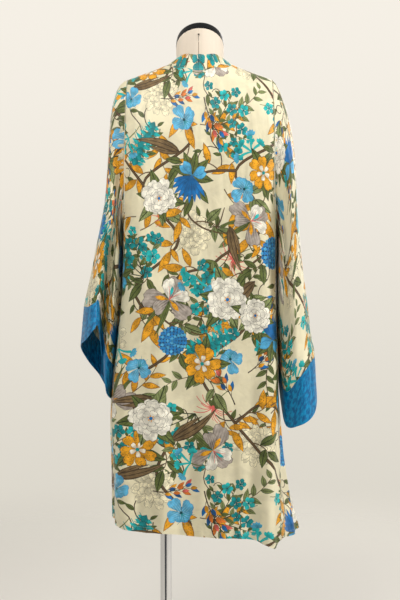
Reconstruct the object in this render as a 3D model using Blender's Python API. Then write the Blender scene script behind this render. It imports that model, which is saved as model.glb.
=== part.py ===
"""Open kimono robe with wide hanging sleeves and plain cuffs, on a limbless dress form with a pole stand.

Metres, +Z up. The front of the robe faces -Y. The origin lies on the floor under the middle of the neck.
Left is +X, the side of the wearer's left arm.
"""
import math

import bmesh
import bpy
import numpy as np
from mathutils import Vector

# Cloth
WALL = 0.0016
SEAM_GAP = 0.0003
HEM_Z = 0.397

# Body of the robe
BACK_Y = 0.100
FRONT_Y = -0.100
YOKE_Z = 1.25
UNDERARM_Z = 1.10
SHOULDER_END = 0.160
FRONT_EDGE_X = 0.056
BAND_WIDTH = 0.017
NECK_SEAM = (0.0730, 0.0740)
CORNER_BACK = 0.045
CORNER_FRONT = 0.050
SEAM_BELOW_CORNER = 0.030
ARMHOLE_FRONT = 0.100
ARMHOLE_BACK = 0.012

# Top line of the shoulders: x from the middle, height
SHOULDER_LINE = (
    (0.000, 1.502),
    (0.030, 1.488),
    (0.058, 1.450),
    (0.087, 1.4346),
    (0.122, 1.4213),
    (0.160, 1.4075),
    (0.200, 1.3900),
)

# Hem: x from the middle, height of the edge above the floor
HEM_LINE = (
    (-0.260, 0.3740),
    (-0.205, 0.3785),
    (-0.181, 0.3840),
    (-0.167, 0.3700),
    (-0.150, 0.3775),
    (-0.122, 0.3880),
    (-0.044, 0.3955),
    (0.022, 0.3985),
    (0.081, 0.4050),
    (0.132, 0.4075),
    (0.165, 0.4135),
    (0.200, 0.4230),
)

# Half widths of the hanging body: height, left back, left front, right back, right front
BODY_WIDTHS = (
    (1.250, 0.170, 0.170, 0.168, 0.168),
    (1.000, 0.171, 0.168, 0.168, 0.166),
    (0.920, 0.175, 0.170, 0.168, 0.168),
    (0.860, 0.180, 0.176, 0.170, 0.170),
    (0.800, 0.186, 0.182, 0.172, 0.174),
    (0.740, 0.192, 0.190, 0.173, 0.178),
    (0.660, 0.197, 0.197, 0.174, 0.184),
    (0.560, 0.192, 0.198, 0.174, 0.197),
    (0.450, 0.189, 0.197, 0.173, 0.225),
    (0.370, 0.189, 0.197, 0.172, 0.247),
)

# Soft upright folds of the body: place around from the middle of the back, width, depth, top, full depth at
BODY_FOLDS = (
    (-0.150, 0.016, 0.0070, 1.05, 0.55),
    (-0.118, 0.014, -0.0050, 0.98, 0.50),
    (-0.086, 0.016, 0.0060, 0.95, 0.45),
    (-0.040, 0.024, 0.0035, 0.90, 0.45),
    (0.030, 0.030, -0.0040, 1.00, 0.50),
    (0.085, 0.020, 0.0045, 0.95, 0.50),
    (0.140, 0.020, -0.0050, 1.00, 0.55),
    (-0.270, 0.020, 0.0060, 1.00, 0.50),
    (-0.330, 0.020, -0.0060, 1.05, 0.50),
    (0.270, 0.020, 0.0070, 1.00, 0.50),
    (0.325, 0.020, -0.0060, 1.05, 0.50),
)

# Sleeves, from the armhole to the cuff's edge: outer fold x and z, underarm x and z, reach back and forward,
# rise of the back over the front, depth of the fold beside the body and how far it stands out
SLEEVE_LEFT = (
    (0.1630, 1.4060, 0.1740, 1.0950, 0.060, 0.055, 0.000, 0.000, 0.000),
    (0.1930, 1.3900, 0.1755, 1.0700, 0.075, 0.075, 0.000, 0.000, 0.000),
    (0.1975, 1.3500, 0.1760, 1.0480, 0.088, 0.090, 0.000, 0.003, 0.001),
    (0.2035, 1.2700, 0.1765, 1.0200, 0.100, 0.105, 0.000, 0.011, 0.003),
    (0.2080, 1.2000, 0.1770, 0.9900, 0.108, 0.112, 0.004, 0.018, 0.006),
    (0.2150, 1.1300, 0.1780, 0.9600, 0.112, 0.115, 0.012, 0.026, 0.010),
    (0.2320, 1.0400, 0.1805, 0.9050, 0.114, 0.115, 0.025, 0.033, 0.012),
    (0.2485, 0.9500, 0.1860, 0.8400, 0.112, 0.112, 0.042, 0.036, 0.010),
    (0.2620, 0.8930, 0.1920, 0.7750, 0.108, 0.108, 0.056, 0.038, 0.006),
    (0.2700, 0.8060, 0.1990, 0.7000, 0.104, 0.104, 0.046, 0.038, 0.004),
)
SLEEVE_RIGHT = (
    (0.1630, 1.4060, 0.1720, 1.0950, 0.060, 0.055, 0.000, 0.000, 0.000),
    (0.1800, 1.3870, 0.1735, 1.0700, 0.075, 0.075, 0.000, 0.000, 0.000),
    (0.1915, 1.3480, 0.1740, 1.0480, 0.088, 0.090, 0.000, 0.003, 0.001),
    (0.2050, 1.2900, 0.1745, 1.0200, 0.100, 0.105, -0.004, 0.009, 0.003),
    (0.2140, 1.2200, 0.1745, 0.9900, 0.110, 0.112, -0.010, 0.014, 0.005),
    (0.2190, 1.1400, 0.1745, 0.9550, 0.116, 0.114, -0.024, 0.019, 0.006),
    (0.2300, 1.0400, 0.1745, 0.9150, 0.120, 0.114, -0.050, 0.022, 0.006),
    (0.2430, 0.9400, 0.1750, 0.8800, 0.122, 0.112, -0.080, 0.020, 0.003),
    (0.2500, 0.8600, 0.1755, 0.8550, 0.122, 0.110, -0.100, 0.016, 0.000),
    (0.2590, 0.7980, 0.1780, 0.8300, 0.120, 0.108, -0.112, 0.012, 0.000),
    (0.2635, 0.7120, 0.1800, 0.7550, 0.116, 0.104, -0.086, 0.010, 0.000),
)
# Rings of the cuff's seam and of its edge: turn round the sleeve in degrees, x, y and z of the seam, x, y and z of the edge
MOUTH_LEFT = (
    (0, 0.2620, 0.000, 0.8930, 0.2700, 0.000, 0.8060),
    (55, 0.2440, 0.085, 0.9040, 0.2480, 0.102, 0.8350),
    (92, 0.2290, 0.092, 0.9130, 0.2290, 0.113, 0.8560),
    (112, 0.2215, 0.080, 0.9140, 0.2215, 0.094, 0.8600),
    (128, 0.2175, 0.046, 0.8550, 0.2175, 0.050, 0.7900),
    (146, 0.2075, 0.072, 0.8000, 0.2100, 0.074, 0.7220),
    (163, 0.1960, 0.052, 0.7740, 0.2015, 0.050, 0.6980),
    (180, 0.1930, 0.000, 0.7720, 0.1990, 0.000, 0.6960),
    (222, 0.2030, -0.065, 0.7780, 0.2080, -0.062, 0.6940),
    (270, 0.2300, -0.100, 0.8060, 0.2350, -0.096, 0.7320),
    (320, 0.2520, -0.062, 0.8450, 0.2590, -0.060, 0.7700),
)
MOUTH_RIGHT = (
    (0, 0.2590, 0.000, 0.7980, 0.2635, 0.000, 0.7120),
    (50, 0.2440, 0.072, 0.7800, 0.2520, 0.070, 0.6640),
    (90, 0.2150, 0.092, 0.7450, 0.2200, 0.090, 0.6430),
    (122, 0.1890, 0.066, 0.7150, 0.1900, 0.064, 0.6400),
    (148, 0.1800, 0.030, 0.7600, 0.1820, 0.030, 0.6920),
    (180, 0.1780, -0.015, 0.8500, 0.1800, -0.015, 0.7650),
    (225, 0.1880, -0.070, 0.9250, 0.1900, -0.068, 0.8400),
    (270, 0.2220, -0.098, 0.8950, 0.2260, -0.094, 0.8080),
    (320, 0.2480, -0.058, 0.8450, 0.2520, -0.056, 0.7580),
)
SLEEVE_HEAD = 2.5
MOUTH_FROM = 3.0
ARMHOLE_GAP = 0.0020
SEAM_STATION = 0.0025
SLEEVE_FOLD_ANGLE = math.radians(118)
SLEEVE_FOLD_SPREAD = math.radians(20)
SLEEVE_LOBE_ANGLE = math.radians(151)
SLEEVE_LOBE_SPREAD = math.radians(15)
SLEEVE_LOBE_SHARE = 0.85
SLEEVE_OUT_SPREAD = math.radians(34)

# Rows and columns of the cloth's grids
YOKE_ROWS = 8
ARMHOLE_ROWS = 8
SKIRT_ROWS = 15
NECK_COLUMNS = 6
SHOULDER_COLUMNS = 7
FRONT_COLUMNS = 12
SLEEVE_ROWS = 17
CUFF_ROWS = 4
SLEEVE_COLUMNS = 36

# Dress form and stand
FORM_GAP = 0.0007
FORM_FLOOR = 0.80
NECK_RADIUS = 0.0530
NECK_TOP_Z = 1.479
NECK_TILT = math.radians(33)
CAP_THICK = 0.0195
CAP_DOME = 0.003
CAP_ROUND = 0.004
POLE_X = 0.0776
POLE_RADIUS = 0.013
SOCKET_RADIUS = 0.024
SOCKET_HEIGHT = 0.035
BASE_RADIUS = 0.190
BASE_THICK = 0.010
BASE_BOSS_RADIUS = 0.030
BASE_BOSS_HEIGHT = 0.028

# Half sizes of the form below the shoulders: height, half width, half depth
FORM_SECTIONS = (
    (0.800, 0.146, 0.082),
    (0.860, 0.150, 0.086),
    (0.930, 0.140, 0.082),
    (1.010, 0.120, 0.072),
    (1.060, 0.117, 0.071),
    (1.130, 0.132, 0.080),
    (1.190, 0.145, 0.088),
    (1.250, 0.149, 0.090),
)


def smooth_table(rows, x):
    """Smooth curve through a table's rows; each row is a place and the values there."""
    data = np.array(sorted(rows), dtype=float)
    place, values = data[:, 0], data[:, 1:]
    slope = np.gradient(values, place, axis=0)
    x = np.clip(x, place[0], place[-1])
    k = int(min(max(np.searchsorted(place, x) - 1, 0), len(place) - 2))
    span = place[k + 1] - place[k]
    t = (x - place[k]) / span
    return ((1 + 2 * t) * (1 - t) ** 2 * values[k] + t * (1 - t) ** 2 * span * slope[k]
            + t * t * (3 - 2 * t) * values[k + 1] + t * t * (t - 1) * span * slope[k + 1])


def clear_scene():
    for item in list(bpy.data.objects):
        bpy.data.objects.remove(item, do_unlink=True)


def material(name, colour, roughness, metallic=0.0):
    made = bpy.data.materials.new(name)
    made.use_nodes = True
    shader = made.node_tree.nodes["Principled BSDF"]
    shader.inputs["Base Color"].default_value = (*colour, 1.0)
    shader.inputs["Roughness"].default_value = roughness
    shader.inputs["Metallic"].default_value = metallic
    made.diffuse_color = (*colour, 1.0)
    return made


def add_object(name, bm, finish, crease=35):
    bmesh.ops.recalc_face_normals(bm, faces=bm.faces)
    mesh = bpy.data.meshes.new(name)
    bm.to_mesh(mesh)
    bm.free()
    mesh.materials.append(finish)
    mesh.shade_smooth()
    mesh.set_sharp_from_angle(angle=math.radians(crease))
    item = bpy.data.objects.new(name, mesh)
    bpy.context.scene.collection.objects.link(item)
    return item


def unit(vectors):
    return vectors / np.maximum(np.linalg.norm(vectors, axis=-1, keepdims=True), 1e-9)


def grid_normals(grid, wraps):
    """Unit normals of a grid of points."""
    if wraps:
        along = np.roll(grid, -1, axis=1) - np.roll(grid, 1, axis=1)
    else:
        along = np.gradient(grid, axis=1)
    down = np.gradient(grid, axis=0)
    return unit(np.cross(down, along))


def wall_faces(outer, wraps=False, cut_row=0):
    """Both faces of a cloth wall: the grid is the outer one, and the other lies one thickness behind it.

    The rows on both sides of a cut share their normals, so that the cut edges stay parallel.
    """
    outer = np.array(outer)
    normals = grid_normals(outer, wraps)
    if cut_row:
        normals[cut_row - 1:cut_row + 1] = unit(normals[cut_row - 1] + normals[cut_row])
    middle = outer.mean(axis=1, keepdims=True) if wraps else outer * (0, 0, 1)
    if np.sum(normals * (outer - middle)) < 0:
        normals = -normals
    return outer, outer - WALL * normals


def wall_object(name, outer, inner, finish, wraps=False):
    rows, columns = outer.shape[:2]
    bm = bmesh.new()
    faces_of = [[[bm.verts.new(point) for point in row] for row in face] for face in (outer, inner)]
    last = columns if wraps else columns - 1
    for i in range(rows - 1):
        for j in range(last):
            k = (j + 1) % columns
            for face in faces_of:
                bm.faces.new((face[i][j], face[i][k], face[i + 1][k], face[i + 1][j]))
    front, behind = faces_of
    for i in (0, rows - 1):
        for j in range(last):
            k = (j + 1) % columns
            bm.faces.new((front[i][j], front[i][k], behind[i][k], behind[i][j]))
    if not wraps:
        for j in (0, columns - 1):
            for i in range(rows - 1):
                bm.faces.new((front[i][j], front[i + 1][j], behind[i + 1][j], behind[i][j]))
    return add_object(name, bm, finish)


def shoulder_height(x):
    return float(smooth_table(SHOULDER_LINE, abs(x))[0])


def hem_height(x):
    return float(smooth_table(HEM_LINE, x)[0])


def half_section(z, side):
    """Half of the body's outline at one height, from the middle of the back round to the front edge."""
    widths = smooth_table(BODY_WIDTHS, z)
    back_x, front_x = (widths[0], widths[1]) if side > 0 else (widths[2], widths[3])
    corners = [np.array(p) for p in ((0.0, BACK_Y), (back_x, BACK_Y), (front_x, FRONT_Y), (FRONT_EDGE_X, FRONT_Y))]
    points = [corners[0]]
    for k, radius in ((1, CORNER_BACK), (2, CORNER_FRONT)):
        here = corners[k]
        start = here + unit(corners[k - 1] - here) * radius
        end = here + unit(corners[k + 1] - here) * radius
        for t in np.linspace(0.0, 1.0, 9):
            points.append((1 - t) ** 2 * start + 2 * t * (1 - t) * here + t * t * end)
    points.append(corners[3])
    points = np.array(points)
    length = np.concatenate(([0.0], np.cumsum(np.linalg.norm(np.diff(points, axis=0), axis=1))))
    side_seam = float(np.interp(-(BACK_Y - SEAM_BELOW_CORNER), -points[1:10, 1], length[1:10]))
    return points, length, side_seam


def section_point(z, side, distance):
    """Point on the body's outline at a distance from the middle of the back, folds included."""
    points, length, _ = half_section(z, side)
    x = float(np.interp(distance, length, points[:, 0]))
    y = float(np.interp(distance, length, points[:, 1]))
    ahead = np.array([np.interp(distance + 0.002, length, points[:, i]) for i in (0, 1)])
    before = np.array([np.interp(distance - 0.002, length, points[:, i]) for i in (0, 1)])
    along = unit(ahead - before)
    outward = np.array((-along[1], along[0]))
    lift = 0.0
    for place, width, depth, top, full in BODY_FOLDS:
        grow = min(max((top - z) / (top - full), 0.0), 1.0)
        lift += depth * grow * math.exp(-((side * distance - place) / width) ** 2)
    x += lift * outward[0]
    y += lift * outward[1]
    return side * max(x, 0.0) if distance else 0.0, y


def yoke_point(ridge_x, side, distance, angle):
    """Point between the shoulder line (angle 0) and the straight-hanging part (a quarter turn)."""
    x, y = section_point(YOKE_Z, side, distance)
    x = ridge_x + (x - ridge_x) * (1 - math.cos(angle))
    y = math.copysign(max(abs(y) * math.sin(angle), SEAM_GAP * 2.5), y)
    top = shoulder_height(ridge_x)
    return x, y, YOKE_Z + (top - YOKE_Z) * math.cos(angle)


def hang_point(side, distance_at, g):
    """Point of the straight-hanging part: g runs from the yoke (0) to the hem (1)."""
    z = YOKE_Z + (HEM_Z - YOKE_Z) * g
    for _ in range(2):
        x, y = section_point(z, side, distance_at(z))
        z = YOKE_Z + (hem_height(x) - YOKE_Z) * g
    x, y = section_point(z, side, distance_at(z))
    return x, y, z


def armhole(z):
    """How far the armhole is open at a height, from 0 at the underarm to 1 at the yoke."""
    if z <= UNDERARM_Z:
        return 0.0
    share = min((z - UNDERARM_Z) / (YOKE_Z - UNDERARM_Z), 1.0)
    return math.sqrt(1 - (1 - share) ** 2)


def back_edge(z, side):
    return half_section(z, side)[2] - ARMHOLE_BACK * armhole(z) - SEAM_GAP


def front_side_edge(z, side):
    return half_section(z, side)[2] + ARMHOLE_FRONT * armhole(z) + SEAM_GAP


def front_inner_edge(z, side):
    return half_section(z, side)[1][-1] - SEAM_GAP


def hang_rows():
    """Rows of the hanging part below the yoke, from 0 to the hem at 1, closer together at the armhole."""
    underarm = (YOKE_Z - UNDERARM_Z) / (YOKE_Z - HEM_Z)
    return [*np.linspace(0.0, underarm, ARMHOLE_ROWS + 1)[1:], *np.linspace(underarm, 1.0, SKIRT_ROWS + 1)[1:]]


def back_start_angle(x):
    """Angle at which the back begins at the neck seam, for a column at distance x from the middle."""
    if abs(x) >= NECK_SEAM[0]:
        return 0.0
    y = NECK_SEAM[1] * math.sqrt(1 - (x / NECK_SEAM[0]) ** 2)
    return math.asin(min(y / BACK_Y, 1.0))


def ridge_of(side, share):
    """Place on the shoulder line of a back column at a share of the panel's half width."""
    edge = back_edge(YOKE_Z, side)
    distance = share * edge
    return side * (distance - (edge - SHOULDER_END) * share ** 2)


def back_shares(side):
    """Columns of half of the back: evenly round the neck, then evenly to the armhole."""
    edge = back_edge(YOKE_Z, side)
    curve = edge - SHOULDER_END
    shares = []
    for k in range(NECK_COLUMNS + 1):
        x = NECK_SEAM[0] * math.sin(math.pi / 2 * k / NECK_COLUMNS)
        shares.append((edge - math.sqrt(edge * edge - 4 * curve * x)) / (2 * curve))
    return shares + list(np.linspace(shares[-1], 1.0, SHOULDER_COLUMNS + 1)[1:])


def make_back(finish):
    shares = [-share for share in back_shares(-1)[:0:-1]] + back_shares(1)
    grid = []
    for i in range(YOKE_ROWS + 1):
        row = []
        for share in shares:
            side = 1 if share >= 0 else -1
            ridge_x = ridge_of(side, abs(share))
            start = back_start_angle(ridge_x)
            angle = start + (math.pi / 2 - start) * i / YOKE_ROWS
            row.append(yoke_point(ridge_x, side, abs(share) * back_edge(YOKE_Z, side), angle))
        grid.append(row)
    for g in hang_rows():
        row = []
        for share in shares:
            side = 1 if share >= 0 else -1
            row.append(hang_point(side, lambda z: abs(share) * back_edge(z, side), g))
        grid.append(row)
    return wall_object("robe_back", *wall_faces(grid), finish)


def make_front(name, side, finish):
    shares = np.linspace(0.0, 1.0, FRONT_COLUMNS)
    grid = []
    for i in range(YOKE_ROWS + 1):
        row = []
        angle = math.pi / 2 * i / YOKE_ROWS
        outer = front_side_edge(YOKE_Z, side)
        inner = front_inner_edge(YOKE_Z, side)
        for share in shares:
            ridge_x = side * (SHOULDER_END + (NECK_SEAM[0] - SHOULDER_END) * share)
            x, y, z = yoke_point(ridge_x, side, outer + (inner - outer) * share, angle)
            row.append((x, y, z))
        grid.append(row)
    for g in hang_rows():
        row = []
        for share in shares:
            def distance_at(z, share=share):
                outer = front_side_edge(z, side)
                return outer + (front_inner_edge(z, side) - outer) * share
            row.append(hang_point(side, distance_at, g))
        grid.append(row)
    return wall_object(name, *wall_faces(grid), finish)


def armhole_point(side, angle):
    """Point of the armhole seam: angle 0 is the shoulder, a quarter turn the back, half a turn the underarm."""
    top = shoulder_height(SHOULDER_END)
    z = top + (UNDERARM_Z - top) * (1 - math.cos(angle)) / 2
    edge = back_edge if angle < math.pi else front_side_edge
    if z > YOKE_Z:
        turn = math.acos((z - YOKE_Z) / (top - YOKE_Z))
        x, y, z = yoke_point(side * SHOULDER_END, side, edge(YOKE_Z, side), turn)
    else:
        x, y = section_point(z, side, edge(z, side))
    return x + side * ARMHOLE_GAP, y, z


def mouth_blend(ring, station, angle, mouth, rows):
    """Turns a point of the upper sleeve into the shape of the cuff's seam and of its edge."""
    seam = rows[-2]
    wrapped = [(row[0] + lap, *row[1:]) for lap in (-360, 0, 360) for row in mouth]
    both = smooth_table(wrapped, math.degrees(angle))
    at_seam, at_edge = both[:3], both[3:]
    if station >= seam[0]:
        share = station - seam[0]
        return at_seam * (1 - share) + at_edge * share
    out_x, out_z, in_x, in_z = smooth_table(rows, station)[:4]
    x = in_x + (at_seam[0] - seam[3]) / (seam[1] - seam[3]) * (out_x - in_x)
    z = at_seam[2] + (out_z + in_z) / 2 - (seam[2] + seam[4]) / 2
    share = min(max((station - MOUTH_FROM) / (seam[0] - MOUTH_FROM), 0.0), 1.0)
    share = share * share * (3 - 2 * share)
    return ring * (1 - share) + np.array((x, at_seam[1], z)) * share


def ring_point(station, side, angle, rows, mouth):
    """Point of a sleeve: angle 0 is the outer fold, a quarter turn the back, half a turn the underarm."""
    out_x, out_z, in_x, in_z, back, front, rise, fold, fold_out = smooth_table(rows, station)
    inward = (1 - math.cos(angle)) / 2
    across = math.sin(angle)
    x = out_x + (in_x - out_x) * inward
    x += fold_out * math.exp(-((angle - SLEEVE_FOLD_ANGLE) / SLEEVE_OUT_SPREAD) ** 2)
    z = out_z + (in_z - out_z) * inward + rise * across
    y = (back if across > 0 else front) * across
    y -= fold * math.exp(-((angle - SLEEVE_FOLD_ANGLE) / SLEEVE_FOLD_SPREAD) ** 2)
    y += fold * SLEEVE_LOBE_SHARE * math.exp(-((angle - SLEEVE_LOBE_ANGLE) / SLEEVE_LOBE_SPREAD) ** 2)
    ring = mouth_blend(np.array((x, y, z)), station, angle, mouth, rows) * (side, 1, 1)
    if station >= SLEEVE_HEAD:
        return ring
    share = station / SLEEVE_HEAD
    share = share * share * (3 - 2 * share)
    return (1 - share) * np.array(armhole_point(side, angle)) + share * ring


def make_sleeve(name, cuff_name, side, rows, mouth, cloth, cuff_cloth):
    """A sleeve and its cuff, cut apart at the seam of one hanging tube."""
    numbered = [(k, *row) for k, row in enumerate(rows)]
    seam = len(rows) - 2
    angles = np.linspace(0.0, math.tau, SLEEVE_COLUMNS, endpoint=False)
    stations = [*np.linspace(0.0, seam - SEAM_STATION, SLEEVE_ROWS),
                *np.linspace(seam + SEAM_STATION, seam + 1.0, CUFF_ROWS)]
    grid = [[ring_point(s, side, a, numbered, mouth) for a in angles] for s in stations]
    outer, inner = wall_faces(grid, wraps=True, cut_row=SLEEVE_ROWS)
    wall_object(name, outer[:SLEEVE_ROWS], inner[:SLEEVE_ROWS], cloth, wraps=True)
    wall_object(cuff_name, outer[SLEEVE_ROWS:], inner[SLEEVE_ROWS:], cuff_cloth, wraps=True)


def band_edges():
    """Inner and outer edge points of the neckband, from the left front hem round the neck to the right."""
    pairs = []
    for side in (1, -1):
        part = []
        for g in [*hang_rows()[::-1], 0.0]:
            def outer_at(z):
                return half_section(z, side)[1][-1]
            x, y, z = hang_point(side, outer_at, g)
            part.append(((x - side * BAND_WIDTH, y, z), (x, y, z)))
        for angle in np.linspace(math.pi / 2, 0.0, YOKE_ROWS + 1)[1:]:
            far = side * NECK_SEAM[0]
            outer_x = far + (side * FRONT_EDGE_X - far) * (1 - math.cos(angle))
            ends = []
            for x in (outer_x - side * BAND_WIDTH, outer_x):
                z = YOKE_Z + (shoulder_height(x) - YOKE_Z) * math.cos(angle)
                ends.append((x, FRONT_Y * math.sin(angle), z))
            part.append(tuple(ends))
        for k in range(NECK_COLUMNS - 1, -1, -1):
            turn = math.pi / 2 * k / NECK_COLUMNS
            ends = []
            for margin in (BAND_WIDTH, 0.0):
                x = side * (NECK_SEAM[0] - margin) * math.sin(turn)
                y = (NECK_SEAM[1] - margin) * math.cos(turn)
                z = YOKE_Z + (shoulder_height(x) - YOKE_Z) * math.sqrt(1 - (y / BACK_Y) ** 2)
                ends.append((x, y, z))
            part.append(tuple(ends))
        pairs += part if side > 0 else part[::-1][1:]
    return pairs


def make_neckband(finish):
    columns = []
    for inner, outer in band_edges():
        a, b = Vector(inner), Vector(outer)
        b += (a - b).normalized() * SEAM_GAP * 2
        columns.append([tuple(a.lerp(b, t)) for t in (0.0, 0.5, 1.0)])
    return wall_object("neckband", *wall_faces(columns), finish)


def form_section(z):
    """Outline of the form at a height, counter-clockwise."""
    angles = np.linspace(0.0, math.tau, 28, endpoint=False)
    if z <= YOKE_Z:
        half_x, half_y = smooth_table(FORM_SECTIONS, z)
        power = 2 / 2.4
        return [(half_x * math.copysign(abs(math.cos(a)) ** power, math.cos(a)),
                 half_y * math.copysign(abs(math.sin(a)) ** power, math.sin(a)), z) for a in angles]
    drop = WALL + FORM_GAP
    half_x, half_y = FORM_SECTIONS[-1][1:]
    xs = np.linspace(0.0, half_x, 200)
    reach = np.array([(z - YOKE_Z) / (shoulder_height(x) - drop - YOKE_Z) for x in xs])
    end = float(xs[reach < 1.0][-1])
    points = []
    for a in angles:
        x = end * math.cos(a)
        share = (z - YOKE_Z) / (shoulder_height(x) - drop - YOKE_Z)
        side_round = max(1 - (abs(x) / (half_x + 0.001)) ** 2.4, 0.0) ** (1 / 2.4)
        y = half_y * side_round * math.sqrt(max(1 - share * share, 0.0))
        points.append((x, math.copysign(y, math.sin(a)) if abs(math.sin(a)) > 1e-6 else 0.0, z))
    return points


def make_form(finish):
    rings = [form_section(z) for z in np.linspace(FORM_FLOOR, YOKE_Z, 13)]
    rings += [form_section(z) for z in (1.29, 1.33, 1.365, 1.39, 1.405, 1.418, 1.43)]
    angles = np.linspace(0.0, math.tau, 28, endpoint=False)
    for z, tilt in ((1.438, 0.0), (1.458, 0.5), (NECK_TOP_Z, 1.0)):
        rings.append([(NECK_RADIUS * math.cos(a), NECK_RADIUS * math.sin(a),
                       z + tilt * math.tan(NECK_TILT) * NECK_RADIUS * math.sin(a)) for a in angles])
    bm = bmesh.new()
    loops = [[bm.verts.new(p) for p in ring] for ring in rings]
    for low, high in zip(loops, loops[1:]):
        for j in range(len(low)):
            k = (j + 1) % len(low)
            bm.faces.new((low[j], low[k], high[k], high[j]))
    bm.faces.new(loops[0][::-1])
    bm.faces.new(loops[-1])
    return add_object("form_torso", bm, finish)


def turned_object(name, profile, finish, segments=40, place=(0, 0, 0), matrix=None):
    """Solid of revolution about Z: each profile row is a radius and a height, from the bottom up."""
    bm = bmesh.new()
    loops = []
    for radius, z in profile:
        loops.append([bm.verts.new((radius * math.cos(math.tau * j / segments),
                                    radius * math.sin(math.tau * j / segments), z)) for j in range(segments)])
    for low, high in zip(loops, loops[1:]):
        for j in range(segments):
            k = (j + 1) % segments
            bm.faces.new((low[j], low[k], high[k], high[j]))
    bm.faces.new(loops[0][::-1])
    bm.faces.new(loops[-1])
    if matrix is not None:
        for vertex in bm.verts:
            vertex.co = matrix(vertex.co)
    bmesh.ops.translate(bm, verts=bm.verts, vec=Vector(place))
    return add_object(name, bm, finish)


def make_cap(finish):
    rim = NECK_RADIUS + 0.0005
    profile = [(rim - 0.001, 0.0), (rim, 0.001), (rim - 0.0005, CAP_THICK * 0.6)]
    for t in (0.35, 0.7, 1.0):
        turn = t * math.pi / 2
        profile.append((rim - 0.0005 - CAP_ROUND * (1 - math.cos(turn)), CAP_THICK * (0.6 + 0.4 * math.sin(turn))))
    profile.append((rim * 0.5, CAP_THICK + CAP_DOME * 0.8))
    profile.append((0.004, CAP_THICK + CAP_DOME))

    def tilt(point):
        rise = math.tan(NECK_TILT) * point.y
        return Vector((point.x, point.y - point.z * math.sin(NECK_TILT), point.z * math.cos(NECK_TILT) + rise))
    return turned_object("form_neck_cap", profile, finish, 36, (0, 0, NECK_TOP_Z + SEAM_GAP), tilt)


def make_stand(chrome, plate):
    top = FORM_FLOOR - SOCKET_HEIGHT - SEAM_GAP
    profile = [(SOCKET_RADIUS - 0.002, top), (SOCKET_RADIUS, top + 0.002), (SOCKET_RADIUS, FORM_FLOOR - SEAM_GAP)]
    turned_object("pole_socket", profile, plate, 32, (POLE_X, 0, 0))
    low = BASE_THICK + BASE_BOSS_HEIGHT + SEAM_GAP
    turned_object("stand_pole", [(POLE_RADIUS, low), (POLE_RADIUS, top - SEAM_GAP)], chrome, 32, (POLE_X, 0, 0))
    profile = [(BASE_RADIUS - 0.001, 0.0), (BASE_RADIUS, 0.001), (BASE_RADIUS, BASE_THICK - 0.003),
               (BASE_RADIUS - 0.003, BASE_THICK), (BASE_BOSS_RADIUS + 0.003, BASE_THICK + 0.001),
               (BASE_BOSS_RADIUS, BASE_THICK + 0.004), (BASE_BOSS_RADIUS - 0.004, BASE_THICK + BASE_BOSS_HEIGHT)]
    turned_object("stand_base", profile, plate, 48, (POLE_X, 0, 0))


clear_scene()
printed = material("printed cream satin", (0.84, 0.77, 0.50), 0.45)
blue = material("blue cuff satin", (0.0, 0.16, 0.50), 0.45)
jersey = material("cream jersey", (0.80, 0.70, 0.55), 0.85)
black = material("black cap", (0.015, 0.015, 0.017), 0.35)
chrome_finish = material("polished chrome", (0.75, 0.75, 0.76), 0.12, 1.0)
steel = material("brushed steel plate", (0.55, 0.55, 0.56), 0.30, 1.0)

make_back(printed)
make_front("robe_front_left", 1, printed)
make_front("robe_front_right", -1, printed)
make_sleeve("sleeve_left", "cuff_left", 1, SLEEVE_LEFT, MOUTH_LEFT, printed, blue)
make_sleeve("sleeve_right", "cuff_right", -1, SLEEVE_RIGHT, MOUTH_RIGHT, printed, blue)
make_neckband(printed)
make_form(jersey)
make_cap(black)
make_stand(chrome_finish, steel)
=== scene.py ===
"""Looks of an open printed kimono robe with blue cuffs, on a limbless dress form with a pole stand.

Metres, +Z up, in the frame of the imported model. The robe's front faces -Y, and the camera stands behind its
back. Left is +X, the side of the robe's left sleeve.
"""
import math
import random

import bmesh
import bpy
import numpy as np
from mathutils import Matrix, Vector
from mathutils.geometry import delaunay_2d_cdt


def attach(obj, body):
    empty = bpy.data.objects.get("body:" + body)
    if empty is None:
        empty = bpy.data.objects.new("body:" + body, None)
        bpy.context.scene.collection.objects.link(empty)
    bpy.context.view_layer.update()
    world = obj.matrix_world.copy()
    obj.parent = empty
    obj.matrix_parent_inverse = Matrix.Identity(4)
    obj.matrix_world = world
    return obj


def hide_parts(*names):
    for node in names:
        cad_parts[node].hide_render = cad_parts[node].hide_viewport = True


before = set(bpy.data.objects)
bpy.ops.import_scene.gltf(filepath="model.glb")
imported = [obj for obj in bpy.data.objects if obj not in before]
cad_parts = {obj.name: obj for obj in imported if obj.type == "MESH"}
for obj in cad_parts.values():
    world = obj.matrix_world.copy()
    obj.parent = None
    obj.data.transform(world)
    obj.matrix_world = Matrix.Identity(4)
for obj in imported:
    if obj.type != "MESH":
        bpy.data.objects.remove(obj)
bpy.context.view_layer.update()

# Stand base. A round steel plate, brushed in circles and lacquered, lies on the floor. A turned boss
# in its middle takes the pole.
POLE_X = 0.0776
BASE_RADIUS = 0.190
BASE_THICK = 0.010
BOSS_RADIUS = 0.030
BOSS_HEIGHT = 0.028


def lathe(profile, steps, place=(0.0, 0.0, 0.0)):
    """Turned solid about Z; each profile row is a radius and a height, from the bottom up."""
    bm = bmesh.new()
    rings = []
    for radius, height in profile:
        ring = []
        for k in range(steps):
            turn = math.tau * k / steps
            ring.append(bm.verts.new((radius * math.cos(turn), radius * math.sin(turn), height)))
        rings.append(ring)
    for low, high in zip(rings, rings[1:]):
        for k in range(steps):
            after = (k + 1) % steps
            bm.faces.new((low[k], low[after], high[after], high[k]))
    bm.faces.new(rings[0][::-1])
    bm.faces.new(rings[-1])
    bmesh.ops.translate(bm, verts=bm.verts, vec=Vector(place))
    return bm


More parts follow.
